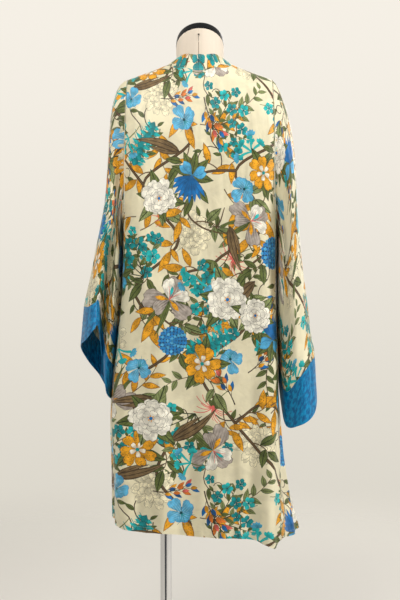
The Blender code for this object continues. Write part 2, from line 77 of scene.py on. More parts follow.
def put_in_scene(name, data):
    """Object of a mesh, a lamp or a camera, linked to the scene."""
    made = bpy.data.objects.new(name, data)
    bpy.context.scene.collection.objects.link(made)
    return made


def piece_from(name, bm, finish, crease=40):
    """Object of a finished mesh, smooth but for edges sharper than the crease angle."""
    mesh = bpy.data.meshes.new(name)
    bm.to_mesh(mesh)
    bm.free()
    mesh.materials.append(finish)
    mesh.shade_smooth()
    mesh.set_sharp_from_angle(angle=math.radians(crease))
    return put_in_scene(name, mesh)


def new_finish(name, roughness, metallic=0.0):
    """New finish; returns the material, its tree and its surface shader."""
    finish = bpy.data.materials.new(name)
    finish.use_nodes = True
    tree = finish.node_tree
    shader = tree.nodes["Principled BSDF"]
    shader.inputs["Roughness"].default_value = roughness
    shader.inputs["Metallic"].default_value = metallic
    return finish, tree, shader


def put(tree, kind, inputs=(), **settings):
    """Adds a node; inputs pairs a socket with a value or with the output that feeds it."""
    node = tree.nodes.new(kind)
    for key, value in settings.items():
        setattr(node, key, value)
    for socket, value in dict(inputs).items():
        if isinstance(value, bpy.types.NodeSocket):
            tree.links.new(value, node.inputs[socket])
        else:
            node.inputs[socket].default_value = value
    return node


def between(tree, value, low, high, start=0.0, end=1.0):
    """Smooth step from start to end as the value goes from low to high."""
    node = put(tree, "ShaderNodeMapRange",
               {"Value": value, "From Min": low, "From Max": high, "To Min": start, "To Max": end},
               interpolation_type="SMOOTHSTEP")
    return node.outputs["Result"]


def blend_colours(tree, share, first, second):
    """Colour of two colours mixed by a share."""
    return put(tree, "ShaderNodeMix", {0: share, 6: first, 7: second}, data_type="RGBA").outputs[2]


def noise(tree, place, scale, detail, distortion=0.0):
    """Soft noise from 0 to 1."""
    inputs = {"Vector": place, "Scale": scale, "Detail": detail, "Distortion": distortion}
    return put(tree, "ShaderNodeTexNoise", inputs).outputs[0]


def relief(tree, height, strength, distance, below=None):
    """Normal of a fine relief, laid over the relief below it or over the smooth surface."""
    inputs = {"Height": height, "Strength": strength, "Distance": distance}
    if below is not None:
        inputs["Normal"] = below
    return put(tree, "ShaderNodeBump", inputs).outputs[0]


def shade_of_steel():
    """Brushed and lacquered steel: fine rings round the pole, a little uneven."""
    finish, tree, shader = new_finish("brushed_steel_plate", 0.34, 1.0)
    place = put(tree, "ShaderNodeTexCoord").outputs["Object"]
    centred = put(tree, "ShaderNodeMapping", {"Vector": place, "Location": (-POLE_X, 0.0, 0.0)}).outputs[0]
    rings = put(tree, "ShaderNodeTexWave",
                {"Vector": centred, "Scale": 160.0, "Distortion": 1.5, "Detail": 3.0},
                wave_type="RINGS", rings_direction="Z").outputs[1]
    cloud = noise(tree, centred, 14.0, 4.0)
    tone = blend_colours(tree, cloud, (0.42, 0.42, 0.43, 1.0), (0.60, 0.60, 0.61, 1.0))
    tree.links.new(tone, shader.inputs["Base Color"])
    tree.links.new(between(tree, rings, 0.0, 1.0, 0.28, 0.42), shader.inputs["Roughness"])
    tree.links.new(relief(tree, rings, 0.12, 0.0002), shader.inputs["Normal"])
    return finish


steel_finish = shade_of_steel()
base_profile = (
    (BASE_RADIUS - 0.0025, 0.0),
    (BASE_RADIUS - 0.0008, 0.0006),
    (BASE_RADIUS, 0.0025),
    (BASE_RADIUS, BASE_THICK - 0.0035),
    (BASE_RADIUS - 0.0010, BASE_THICK - 0.0012),
    (BASE_RADIUS - 0.0035, BASE_THICK),
    (0.110, BASE_THICK + 0.0004),
    (BOSS_RADIUS + 0.0060, BASE_THICK + 0.0010),
    (BOSS_RADIUS + 0.0018, BASE_THICK + 0.0022),
    (BOSS_RADIUS + 0.0002, BASE_THICK + 0.0050),
    (BOSS_RADIUS - 0.0022, BASE_THICK + BOSS_HEIGHT - 0.0030),
    (BOSS_RADIUS - 0.0034, BASE_THICK + BOSS_HEIGHT - 0.0008),
    (BOSS_RADIUS - 0.0060, BASE_THICK + BOSS_HEIGHT),
    (0.0145, BASE_THICK + BOSS_HEIGHT),
)
base_piece = piece_from("base_plate", lathe(base_profile, 128, (POLE_X, 0.0, 0.0)), steel_finish)
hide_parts("stand_base")
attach(base_piece, "root")

# Pole. A chromed steel tube stands in the boss and goes up into the socket under the form. A thin
# lip closes its foot.
PIECE_GAP = 0.0003
POLE_RADIUS = 0.013
POLE_LOW = BASE_THICK + BOSS_HEIGHT + PIECE_GAP
SOCKET_LOW = 0.7647


def shade_of_chrome():
    """Polished chrome with faint wiping marks along the tube."""
    finish, tree, shader = new_finish("polished_chrome", 0.10, 1.0)
    place = put(tree, "ShaderNodeTexCoord").outputs["Object"]
    drawn = put(tree, "ShaderNodeMapping", {"Vector": place, "Scale": (60.0, 60.0, 2.0)}).outputs[0]
    marks = noise(tree, drawn, 3.0, 5.0)
    tone = blend_colours(tree, marks, (0.60, 0.60, 0.61, 1.0), (0.78, 0.78, 0.79, 1.0))
    tree.links.new(tone, shader.inputs["Base Color"])
    tree.links.new(between(tree, marks, 0.3, 0.8, 0.06, 0.17), shader.inputs["Roughness"])
    return finish


chrome_finish = shade_of_chrome()
pole_profile = (
    (POLE_RADIUS - 0.0010, POLE_LOW),
    (POLE_RADIUS, POLE_LOW + 0.0010),
    (POLE_RADIUS, 0.30),
    (POLE_RADIUS, 0.60),
    (POLE_RADIUS, SOCKET_LOW - 0.0013),
    (POLE_RADIUS - 0.0010, SOCKET_LOW - PIECE_GAP),
)
pole_piece = piece_from("chrome_pole", lathe(pole_profile, 64, (POLE_X, 0.0, 0.0)), chrome_finish)
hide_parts("stand_pole")
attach(pole_piece, "root")

# Pole socket. A short turned steel collar under the form grips the pole's top, with two grooves
# round it.
SOCKET_RADIUS = 0.024
FORM_FLOOR = 0.80
socket_profile = [(SOCKET_RADIUS - 0.0025, SOCKET_LOW), (SOCKET_RADIUS - 0.0006, SOCKET_LOW + 0.0008)]
for groove in (SOCKET_LOW + 0.0085, SOCKET_LOW + 0.0235):
    socket_profile += [(SOCKET_RADIUS, groove - 0.0016), (SOCKET_RADIUS - 0.0010, groove - 0.0006)]
    socket_profile += [(SOCKET_RADIUS - 0.0010, groove + 0.0006), (SOCKET_RADIUS, groove + 0.0016)]
socket_profile += [(SOCKET_RADIUS, FORM_FLOOR - 0.0015), (SOCKET_RADIUS - 0.0010, FORM_FLOOR - PIECE_GAP)]
socket_piece = piece_from("socket_collar", lathe(socket_profile, 72, (POLE_X, 0.0, 0.0)), steel_finish)
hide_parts("pole_socket")
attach(socket_piece, "root")

# Dress form. A hard limbless torso in a tight cover of cream jersey, closed by a seam down the
# middle of its back and shaped by two more seams on each side.
WALL = 0.0016
YOKE_Z = 1.25
# Top of the robe and of the form below it: x from the middle, height
SHOULDER_LINE = (
    (0.000, 1.502),
    (0.030, 1.488),
    (0.058, 1.450),
    (0.087, 1.4346),
    (0.122, 1.4213),
    (0.160, 1.4075),
    (0.200, 1.3900),
)
# Half sizes of the form below the shoulders: height, half width, half depth
FORM_SECTIONS = (
    (0.800, 0.146, 0.082),
    (0.860, 0.150, 0.086),
    (0.930, 0.140, 0.082),
    (1.010, 0.120, 0.072),
    (1.060, 0.117, 0.071),
    (1.130, 0.132, 0.080),
    (1.190, 0.145, 0.088),
    (1.250, 0.149, 0.090),
)
NECK_RADIUS = 0.0530
NECK_TOP_Z = 1.479
NECK_TILT = math.radians(33)
# Rings of the neck: height, share of the slant of its top
NECK_RINGS = (
    (1.438, 0.00),
    (1.446, 0.20),
    (1.454, 0.40),
    (1.462, 0.60),
    (1.470, 0.79),
    (1.476, 0.93),
    (NECK_TOP_Z, 1.00),
)
FORM_COLUMNS = 112
FORM_SQUARENESS = 2.4
FORM_CLEAR = 0.0007
SEAM_X = 0.003
SEAM_DEEP = 0.0007
SIDE_SEAM_COLUMNS = 12


def smooth_rows(rows, place):
    """Smooth values of a table at one place or many; each row is a place and the values there."""
    data = np.array(sorted(rows), dtype=float)
    keys, values = data[:, 0], data[:, 1:]
    slope = np.gradient(values, keys, axis=0)
    place = np.clip(np.asarray(place, dtype=float), keys[0], keys[-1])
    k = np.clip(np.searchsorted(keys, place) - 1, 0, len(keys) - 2)
    span = (keys[k + 1] - keys[k])[..., None]
    t = (place - keys[k])[..., None] / span
    return ((1 + 2 * t) * (1 - t) ** 2 * values[k] + t * (1 - t) ** 2 * span * slope[k]
            + t * t * (3 - 2 * t) * values[k + 1] + t * t * (t - 1) * span * slope[k + 1])


def shoulder_height(x):
    """Height of the robe's ridge from the neck to the shoulder's end, at x."""
    return smooth_rows(SHOULDER_LINE, np.abs(x))[..., 0]


def form_ring(z):
    """Outline of the form at a height, counter-clockwise from its left side."""
    turns = np.linspace(0.0, math.tau, FORM_COLUMNS, endpoint=False)
    c, s = np.cos(turns), np.sin(turns)
    if z <= YOKE_Z:
        half_x, half_y = smooth_rows(FORM_SECTIONS, z)
        power = 2 / FORM_SQUARENESS
        x = half_x * np.sign(c) * np.abs(c) ** power
        y = half_y * np.sign(s) * np.abs(s) ** power
        return np.stack((x, y, np.full_like(x, z)), 1)
    half_x, half_y = FORM_SECTIONS[-1][1:]
    xs = np.linspace(0.0, half_x, 400)
    reach = (z - YOKE_Z) / (shoulder_height(xs) - WALL - FORM_CLEAR - YOKE_Z)
    x = xs[reach < 1.0][-1] * c
    share = (z - YOKE_Z) / (shoulder_height(x) - WALL - FORM_CLEAR - YOKE_Z)
    sideways = (np.abs(x) / (half_x + 0.001)) ** FORM_SQUARENESS
    side_round = np.clip(1 - sideways, 0.0, 1.0) ** (1 / FORM_SQUARENESS)
    y = half_y * side_round * np.sqrt(np.clip(1 - share ** 2, 0.0, 1.0))
    return np.stack((x, y * np.sign(np.round(s, 6)), np.full_like(x, z)), 1)


def make_form(finish):
    """The torso with its neck; the seams are shallow grooves down the columns that they follow."""
    trunk, shoulders = np.linspace(FORM_FLOOR, YOKE_Z, 40), np.linspace(1.26, 1.40, 18)
    rings = [form_ring(z) for z in (*trunk, *shoulders, 1.405, 1.411, 1.418, 1.424, 1.43)]
    turns = np.linspace(0.0, math.tau, FORM_COLUMNS, endpoint=False)
    for z, tilt in NECK_RINGS:
        rise = tilt * math.tan(NECK_TILT) * NECK_RADIUS * np.sin(turns)
        rings.append(np.stack((NECK_RADIUS * np.cos(turns), NECK_RADIUS * np.sin(turns), z + rise), 1))
    seams = [middle + off for middle in (FORM_COLUMNS // 4, FORM_COLUMNS * 3 // 4)
             for off in (-SIDE_SEAM_COLUMNS, 0, SIDE_SEAM_COLUMNS)]
    for ring in rings:
        for column in seams:
            ring[column, :2] *= 1 - SEAM_DEEP / max(np.linalg.norm(ring[column, :2]), 0.02)
    bm = bmesh.new()
    loops = [[bm.verts.new(point) for point in ring] for ring in rings]
    for low, high in zip(loops, loops[1:]):
        for k in range(FORM_COLUMNS):
            after = (k + 1) % FORM_COLUMNS
            bm.faces.new((low[k], low[after], high[after], high[k]))
    bm.faces.new(loops[0][::-1])
    bm.faces.new(loops[-1])
    bmesh.ops.recalc_face_normals(bm, faces=bm.faces)
    return piece_from("jersey_form", bm, finish, 50)


def sums(tree, operation, first, second=0.0, third=0.0, clamp=False):
    """Result of one Math node."""
    inputs = {0: first, 1: second, 2: third}
    return put(tree, "ShaderNodeMath", inputs, operation=operation, use_clamp=clamp).outputs[0]


def shade_of_jersey():
    """Fine cream jersey: knitted ribs, a soft nap and a thin brown line in the seams."""
    finish, tree, shader = new_finish("cream_jersey", 0.86)
    shader.inputs["Sheen Weight"].default_value = 0.25
    shader.inputs["Sheen Roughness"].default_value = 0.5
    place = put(tree, "ShaderNodeTexCoord").outputs["Object"]
    parts = put(tree, "ShaderNodeSeparateXYZ", {0: place}).outputs
    cloud = noise(tree, place, 9.0, 4.0)
    tone = blend_colours(tree, cloud, (0.80, 0.695, 0.575, 1.0), (0.86, 0.76, 0.65, 1.0))
    off_seam = sums(tree, "ABSOLUTE", sums(tree, "SUBTRACT", parts[0], SEAM_X))
    below_pin = between(tree, parts[2], 1.482, 1.486, 0.85, 0.15)
    shown = sums(tree, "MULTIPLY", between(tree, off_seam, 0.0004, 0.0011, 1.0, 0.0), below_pin)
    tone = blend_colours(tree, shown, tone, (0.17, 0.10, 0.05, 1.0))
    tree.links.new(tone, shader.inputs["Base Color"])
    knit = 0.0
    for way, scale, share in (("X", 330.0, 0.6), ("Z", 260.0, 0.4)):
        rows = put(tree, "ShaderNodeTexWave",
                   {"Vector": place, "Scale": scale, "Distortion": 0.6, "Detail": 1.0},
                   wave_type="BANDS", bands_direction=way).outputs[1]
        knit = sums(tree, "MULTIPLY_ADD", rows, share, knit)
    tree.links.new(relief(tree, knit, 0.35, 0.0003), shader.inputs["Normal"])
    return finish


form_piece = make_form(shade_of_jersey())
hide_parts("form_torso")
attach(form_piece, "root")

# Neck cap. A glossy black plastic lid closes the form's slanting neck. A small steel pin with
# a round head is pushed into the neck below it, at the top of the seam.
CAP_THICK = 0.0195
CAP_DOME = 0.003
CAP_ROUND = 0.004
PIN_RADIUS = 0.0021
PIN_TOP = 1.5000


def make_cap(finish):
    """A turned lid with a rounded edge and a slight dome, sheared to the slant of the neck."""
    rim = NECK_RADIUS + 0.0005
    profile = [(rim - 0.001, 0.0), (rim - 0.0002, 0.0004), (rim, 0.0014), (rim - 0.0005, CAP_THICK * 0.6)]
    for t in np.linspace(0.15, 1.0, 7):
        turn = t * math.pi / 2
        inward = CAP_ROUND * (1 - math.cos(turn))
        profile.append((rim - 0.0005 - inward, CAP_THICK * (0.6 + 0.4 * math.sin(turn))))
    for share in (0.85, 0.68, 0.5, 0.3, 0.08):
        profile.append((rim * share, CAP_THICK + CAP_DOME * (1 - share * share)))
    bm = lathe(profile, 96)
    for vertex in bm.verts:
        rise = math.tan(NECK_TILT) * vertex.co.y
        vertex.co = Vector((vertex.co.x, vertex.co.y - vertex.co.z * math.sin(NECK_TILT),
                            vertex.co.z * math.cos(NECK_TILT) + rise + NECK_TOP_Z + PIECE_GAP))
    return piece_from("neck_cap", bm, finish)


def shade_of_cap():
    """Black moulded plastic with fine handling marks."""
    finish, tree, shader = new_finish("black_moulded_cap", 0.28)
    shader.inputs["Specular IOR Level"].default_value = 0.12
    place = put(tree, "ShaderNodeTexCoord").outputs["Object"]
    marks = noise(tree, place, 60.0, 6.0)
    tone = blend_colours(tree, marks, (0.003, 0.004, 0.005, 1.0), (0.009, 0.010, 0.012, 1.0))
    tree.links.new(tone, shader.inputs["Base Color"])
    tree.links.new(between(tree, marks, 0.3, 0.7, 0.20, 0.40), shader.inputs["Roughness"])
    tree.links.new(relief(tree, marks, 0.15, 0.0003), shader.inputs["Normal"])
    return finish


def make_pin(finish):
    """A round head and a straight shank, pushed down into the seam below the cap."""
    profile = [(0.0002, -0.0145), (0.0004, -0.0125), (0.0004, -0.0012)]
    for turn in np.linspace(0.4, math.pi - 0.1, 8):
        profile.append((PIN_RADIUS * math.sin(turn), -PIN_RADIUS * math.cos(turn)))
    return piece_from("steel_pin", lathe(profile, 16, (SEAM_X, NECK_RADIUS + 0.0006, PIN_TOP)), finish)


def shade_of_pin():
    """Dull dark steel."""
    finish, tree, shader = new_finish("dull_steel", 0.45)
    shader.inputs["Metallic"].default_value = 0.6
    place = put(tree, "ShaderNodeTexCoord").outputs["Object"]
    stains = noise(tree, place, 700.0, 3.0)
    stains = between(tree, stains, 0.35, 0.65)
    tone = blend_colours(tree, stains, (0.050, 0.042, 0.032, 1.0), (0.130, 0.115, 0.090, 1.0))
    tree.links.new(tone, shader.inputs["Base Color"])
    return finish


cap_piece = make_cap(shade_of_cap())
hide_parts("form_neck_cap")
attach(cap_piece, "root")
pin_piece = make_pin(shade_of_pin())
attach(pin_piece, "root")

# Printed cloth. Light viscose satin, printed all over with branches, leaves and flowers on a cream
# ground. The print is drawn here as flat shapes on one repeat of the bolt, and each piece is cut from it.
REPEAT = (0.62, 0.86)
# Dyes of the print
CREAM = (0.84, 0.775, 0.55)
BROWN = (0.115, 0.068, 0.030)
DARK_BROWN = (0.030, 0.017, 0.009)
OLIVE = (0.130, 0.165, 0.040)
DEEP_OLIVE = (0.022, 0.035, 0.010)
SAGE = (0.250, 0.300, 0.110)
MUSTARD = (0.820, 0.370, 0.010)
OCHRE = (0.170, 0.070, 0.006)
TEAL = (0.000, 0.300, 0.320)
PALE_TEAL = (0.010, 0.470, 0.480)
DEEP_TEAL = (0.000, 0.060, 0.080)
SKY = (0.090, 0.420, 0.680)
PALE_SKY = (0.330, 0.640, 0.780)
BLUE = (0.002, 0.170, 0.500)
NAVY = (0.010, 0.060, 0.160)
WHITE = (0.880, 0.850, 0.740)
GREY = (0.120, 0.110, 0.085)
PALE_GREY = (0.480, 0.450, 0.380)
LILAC = (0.430, 0.375, 0.330)
TAN = (0.230, 0.150, 0.065)
DARK_TAN = (0.050, 0.030, 0.016)
CORAL = (0.760, 0.130, 0.110)
ORANGE = (0.800, 0.200, 0.015)
LINE = (0.170, 0.140, 0.075)
# What is drawn inside a printed shape
PATTERNS = {"plain": 0.0, "veins": 0.2, "streaks": 0.4, "dots": 0.6}
# Outline of a broad petal with a notched tip: shares of its length and of its half width
PETAL = (
    (0.00, 0.00),
    (0.35, -0.55),
    (0.68, -0.95),
    (0.90, -0.82),
    (1.00, -0.38),
    (0.94, 0.00),
    (1.00, 0.38),
    (0.90, 0.82),
    (0.68, 0.95),
    (0.35, 0.55),
)
# Leaves: half width for its length, dyes, pattern, strength of the outline, fullness, dark rim
LEAVES = {
    "mustard": (0.175, (MUSTARD, OCHRE), "dots", 0.30, 0.85, 0.0008),
    "sage": (0.220, (SAGE, DEEP_OLIVE), "veins", 0.75, 0.80, 0.0),
    "olive": (0.200, (OLIVE, DEEP_OLIVE), "veins", 0.90, 0.80, 0.0),
}
BRANCH_WIDTH = 0.0052
VINE_WIDTH = 0.0027
dice = random.Random(41)
shapes = []


def draw(base, angle, length, width, fullness, bend, local, colours, pattern="plain", edge=0.0):
    """Puts a flat shape on the repeat; local points are shares of its length and width."""
    c, s = math.cos(angle), math.sin(angle)
    points = []
    for u, v in local:
        x, y = u * length, v * width + bend * length * u * u
        points.append((base[0] + x * c - y * s, base[1] + x * s + y * c))
    area = sum(a[0] * b[1] - b[0] * a[1] for a, b in zip(points, points[1:] + points[:1]))
    shapes.append({"points": np.array(points if area > 0 else points[::-1]),
                   "frame": (base[0], base[1], c, s, length, width, bend),
                   "dye": (*colours[0], fullness), "ink": (*colours[1], edge), "pattern": PATTERNS[pattern]})


def blade(base, angle, length, width, colours, pattern="plain", edge=0.0, fullness=0.8, bend=0.0, steps=6,
          rim=0.0):
    """Leaf or petal, pointed at both ends; a higher fullness puts its widest place nearer to the tip."""
    side = [(k / steps, math.sin(math.pi * (k / steps) ** fullness)) for k in range(1, steps)]
    local = [(0.0, 0.0), *((u, -v) for u, v in side), (1.0, 0.0), *((u, v) for u, v in side[::-1])]
    if rim:
        start = (base[0] - math.cos(angle) * rim, base[1] - math.sin(angle) * rim)
        draw(start, angle, length + 3 * rim, width + rim, fullness, bend, local, (colours[1], colours[1]))
    draw(base, angle, length, width, fullness, bend, local, colours, pattern, edge)


def petal(base, angle, length, width, colours, rim=0.0007, dark=GREY, bend=0.0, pattern="streaks"):
    """Broad petal with a notched tip, on a slightly larger dark one that shows as its outline."""
    draw(base, angle, length + rim, width + rim, 0.0, bend, PETAL, (dark, dark))
    draw(base, angle, length, width, 0.0, bend, PETAL, colours, pattern)


def disc(centre, radius, colours, steps=8):
    """Round spot, as the eye of a flower."""
    local = [(math.cos(math.tau * k / steps), math.sin(math.tau * k / steps)) for k in range(steps)]
    draw(centre, 0.0, radius, radius, 0.0, 0.0, local, colours)


def stem(path, width, colour, taper=0.5):
    """Thin stroke along a path, which narrows to its end."""
    path = np.array(path, dtype=float)
    ahead = np.gradient(path, axis=0)
    ahead /= np.maximum(np.linalg.norm(ahead, axis=1, keepdims=True), 1e-9)
    half = np.linspace(width / 2, width / 2 * taper, len(path))[:, None]
    across = np.stack((-ahead[:, 1], ahead[:, 0]), 1) * half
    local = [*map(tuple, path - across), *map(tuple, (path + across)[::-1])]
    draw((0.0, 0.0), 0.0, 1.0, 1.0, 0.0, 0.0, local, (colour, colour))


def sweep(start, angle, length, bend, steps=8):
    """Points of a curve that leaves start at an angle and turns by bend."""
    points = [start]
    for k in range(steps):
        turn = angle + bend * (k + 0.5) / steps
        points.append((points[-1][0] + math.cos(turn) * length / steps,
                       points[-1][1] + math.sin(turn) * length / steps))
    return points


def other_side(k):
    """Side of the k-th leaf of a twig: 1 and -1 in turn."""
    return 1 if k % 2 else -1


def leaf(base, angle, length, tone="olive", bend=0.0):
    """Speckled golden leaf, or green one with veins."""
    share, colours, pattern, edge, fullness, rim = LEAVES[tone]
    blade(base, angle, length, length * share, colours, pattern, edge, fullness, bend, rim=rim)


def florets(x, y, angle, size):
    """Fan of thin stalks with narrow leaves, which carry small five-petalled teal flowers."""
    for k in range(5):
        turn = angle + (k - 2) * 0.50
        main = sweep((x, y), turn, size * (0.95 - 0.12 * abs(k - 2)), 0.25 * (k - 2))
        stem(main, size * 0.020, DEEP_OLIVE)
        for j in range(2, 8):
            side = other_side(j)
            long = size * (0.15 + 0.08 * dice.random())
            leaf(main[j], turn + side * 0.75, long, "olive" if j % 3 else "sage", 0.1 * side)
    for k in range(12):
        reach = size * (0.42 + 0.55 * ((k * 0.618) % 1.0))
        turn = angle + (k / 11 - 0.5) * 2.6
        centre = (x + reach * math.cos(turn), y + reach * math.sin(turn))
        small = size * (0.10 + 0.06 * dice.random())
        tones = (PALE_TEAL, TEAL) if k % 3 == 0 else (TEAL, DEEP_TEAL)
        for j in range(5):
            ahead = turn + math.tau * j / 5 + 0.3 * dice.random()
            blade(centre, ahead, small, small * 0.40, tones, "streaks", 0.8, 1.5, steps=4)
        disc(centre, small * 0.14, (DEEP_TEAL, DEEP_TEAL), steps=5)


def peony(x, y, angle, size):
    """Full white flower of many petals with fine grey outlines and a blue heart, over broad leaves."""
    for k in range(6):
        long = size * (0.72 + 0.12 * (k % 2))
        leaf((x, y), angle + k * 1.05 + 0.4, long, "olive" if k % 3 else "sage", 0.12)
    for count, reach, width in ((8, 0.50, 0.18), (7, 0.40, 0.16), (6, 0.29, 0.13), (5, 0.18, 0.09)):
        for k in range(count):
            turn = angle + count * 0.7 + math.tau * k / count + 0.3 * (dice.random() - 0.5)
            long = size * reach * (0.85 + 0.3 * dice.random())
            petal((x, y), turn, long, size * width, (WHITE, PALE_GREY), 0.0006, GREY)
    for k in range(6):
        ahead = angle + math.tau * k / 6
        blade((x, y), ahead, size * 0.09, size * 0.016, (MUSTARD, OCHRE), fullness=1.6, steps=3)
    disc((x, y), size * 0.045, (BLUE, SKY), steps=6)


def iris(x, y, angle, size):
    """Grey-lilac flag flower with gold and turquoise tongues on a green stalk."""
    stem(sweep((x, y), angle + math.pi, size * 0.9, 0.5), size * 0.040, OLIVE)
    for turn, bend in ((2.7, 0.25), (-2.8, -0.2)):
        blade((x, y), angle + turn, size * 0.85, size * 0.055, (OLIVE, DEEP_OLIVE), "veins", 0.7, 0.7, bend)
    for turn, long, wide in ((0.0, 0.5, 0.20), (1.9, 0.60, 0.22), (-1.9, 0.58, 0.20), (2.6, 0.42, 0.16)):
        petal((x, y), angle + turn, size * long, size * wide, (LILAC, DARK_TAN), 0.0007, DARK_TAN, 0.15)
    for turn in (0.7, -0.7):
        petal((x, y), angle + turn, size * 0.46, size * 0.15, (WHITE, LILAC), 0.0007, DARK_TAN, -0.15)
    for turn in (1.9, -1.9):
        blade((x, y), angle + turn, size * 0.34, size * 0.055, (MUSTARD, OCHRE), "dots", 0.5, 1.4, steps=4)
    blade((x, y), angle + 0.1, size * 0.30, size * 0.045, (PALE_TEAL, TEAL), "streaks", 0.6, 1.2, 0.2, 4)
    for k in range(3):
        stem(sweep((x, y), angle - 0.3 + 0.3 * k, size * 0.3, 0.6 * (k - 1), 4), size * 0.016, CORAL)


def gold_flower(x, y, angle, size):
    """Broad speckled golden flower with a pale heart and a turquoise eye."""
    for turn in (0.6, 2.7, -2.2):
        leaf((x, y), angle + turn, size * 0.80, "olive", 0.1)
    for k in range(7):
        turn = angle + math.tau * k / 7 + 0.2 * (dice.random() - 0.5)
        long = size * (0.46 + 0.06 * (k % 2))
        petal((x, y), turn, long, size * 0.15, (MUSTARD, OCHRE), 0.0009, DARK_TAN, 0.1, "dots")
    for k in range(5):
        turn = angle + 0.4 + math.tau * k / 5
        petal((x, y), turn, size * 0.22, size * 0.065, (WHITE, MUSTARD), 0.0006, OCHRE)
    disc((x, y), size * 0.055, (TEAL, DEEP_TEAL), steps=6)


def lobed_flower(x, y, angle, size):
    """Light-blue flower of three large and two small lobes."""
    for turn, long in ((2.6, 0.36), (-2.6, 0.36), (1.35, 0.50), (-1.35, 0.50), (0.0, 0.60)):
        petal((x, y), angle + turn, size * long, size * 0.24, (SKY, PALE_SKY), 0.0006, BLUE, 0.1)
    for k in range(4):
        stem(sweep((x, y), angle + 2.9 + 0.2 * k, size * 0.5, 0.8 * (k - 1.5), 5), size * 0.020, TEAL)
    disc((x, y), size * 0.06, (DEEP_TEAL, DEEP_TEAL), steps=6)


def pompom(x, y, angle, size):
    """Round blue flower of five rings of short petals."""
    disc((x, y), size * 0.5, (NAVY, NAVY), 18)
    for count, reach, start in ((21, 0.53, 0.38), (17, 0.44, 0.28), (13, 0.33, 0.18), (9, 0.22, 0.09),
                                (5, 0.13, 0.0)):
        for k in range(count):
            turn = angle + math.tau * (k + 0.5 * (count % 4 == 3)) / count
            base = (x + math.cos(turn) * size * start, y + math.sin(turn) * size * start)
            tones = (BLUE, SKY) if (k + count) % 3 else (SKY, BLUE)
            blade(base, turn, size * (reach - start), size * 0.068, tones, "streaks", 0.6, 1.6, steps=3)


def drawn_flower(x, y, angle, size):
    """Large many-petalled flower, only drawn in thin lines on the ground."""
    for count, reach, width in ((11, 0.52, 0.100), (10, 0.42, 0.095), (9, 0.32, 0.085), (7, 0.22, 0.070),
                                (4, 0.12, 0.050)):
        for k in range(count):
            turn = angle + count * 0.37 + math.tau * k / count + 0.25 * (dice.random() - 0.5)
            long = size * reach * (0.88 + 0.24 * dice.random())
            petal((x, y), turn, long, size * width, (CREAM, LINE), 0.0006, LINE, 0.06)


def fan_flower(x, y, angle, size):
    """Bright-blue flower open on one side like a fan, over green leaves."""
    for turn in (2.5, -2.5, 3.2, 1.6, -1.7):
        leaf((x, y), angle + turn, size * 0.75, "olive", 0.1)
    for turn in (1.9, -1.9, 2.3, -2.3):
        blade((x, y), angle + turn, size * 0.5, size * 0.13, (SKY, BLUE), "streaks", 0.7, 1.4, 0.1)
    for k in range(9):
        long = size * (0.85 - 0.02 * abs(k - 4))
        blade((x, y), angle + (k - 4) * 0.24, long, size * 0.075, (BLUE, NAVY), "streaks", 0.9, 1.3)


def comb_flower(x, y, angle, size):
    """Long teal flower of ragged petals with tendrils on both sides."""
    for k in range(8):
        along, off = (k / 7 - 0.5) * size, math.sin(k * 1.3) * size * 0.05
        centre = (x + along * math.cos(angle) - off * math.sin(angle),
                  y + along * math.sin(angle) + off * math.cos(angle))
        for side in (1, -1):
            for j in range(3):
                turn = angle + side * (0.9 + 0.35 * j) + 0.3 * (dice.random() - 0.5)
                long = size * (0.26 + 0.16 * dice.random()) * (1 - 0.4 * abs(k - 3.5) / 3.5)
                if j == 1:
                    tones = (PALE_TEAL, TEAL)
                    blade(centre, turn, long, size * 0.050, tones, "streaks", 0.8, 1.2, 0.3 * side, 4)
                else:
                    stem(sweep(centre, turn, long, side * 0.7, 4), size * 0.026, TEAL)
        start = (centre[0] - math.cos(angle) * size * 0.1, centre[1] - math.sin(angle) * size * 0.1)
        blade(start, angle, size * 0.24, size * 0.10, (TEAL, DEEP_TEAL), "streaks", 0.6, 1.1)


def thread_flower(x, y, angle, size):
    """Coral flower of thin curling threads."""
    stem(sweep((x, y), angle + math.pi, size * 0.9, -0.6), size * 0.040, OLIVE)
    for k in range(13):
        long = size * (0.45 + 0.12 * (k % 3))
        stem(sweep((x, y), angle + (k - 6) * 0.27, long, 1.1 if k > 5 else -1.1, 6), size * 0.032, CORAL, 0.6)
    for k in range(5):
        leaf((x, y), angle + math.pi + (k - 2) * 0.5, size * 0.34)
    disc((x, y), size * 0.06, (CORAL, CORAL), steps=6)


def buds(x, y, angle, size):
    """Twig with pointed buds in orange, red, gold and blue."""
    main = sweep((x, y), angle, size, 0.5)
    stem(main, size * 0.035, DARK_TAN)
    tones = ((ORANGE, BROWN), (CORAL, BROWN), (BLUE, NAVY), (MUSTARD, OCHRE), (NAVY, BLUE), (ORANGE, BROWN))
    for k in range(2, 9):
        side = other_side(k)
        turn = angle + 0.5 * k / 8 + side * 0.7
        twig = sweep(main[k], turn, size * 0.12, side * -0.3, 3)
        stem(twig, size * 0.022, DARK_TAN)
        for j in range(2):
            ahead, long = turn - side * (0.2 + 0.5 * j), size * (0.30 - 0.08 * j)
            blade(twig[-1], ahead, long, size * 0.060, tones[(k + j) % 6], "streaks", 0.9, 0.9, 0.1 * side, 5)


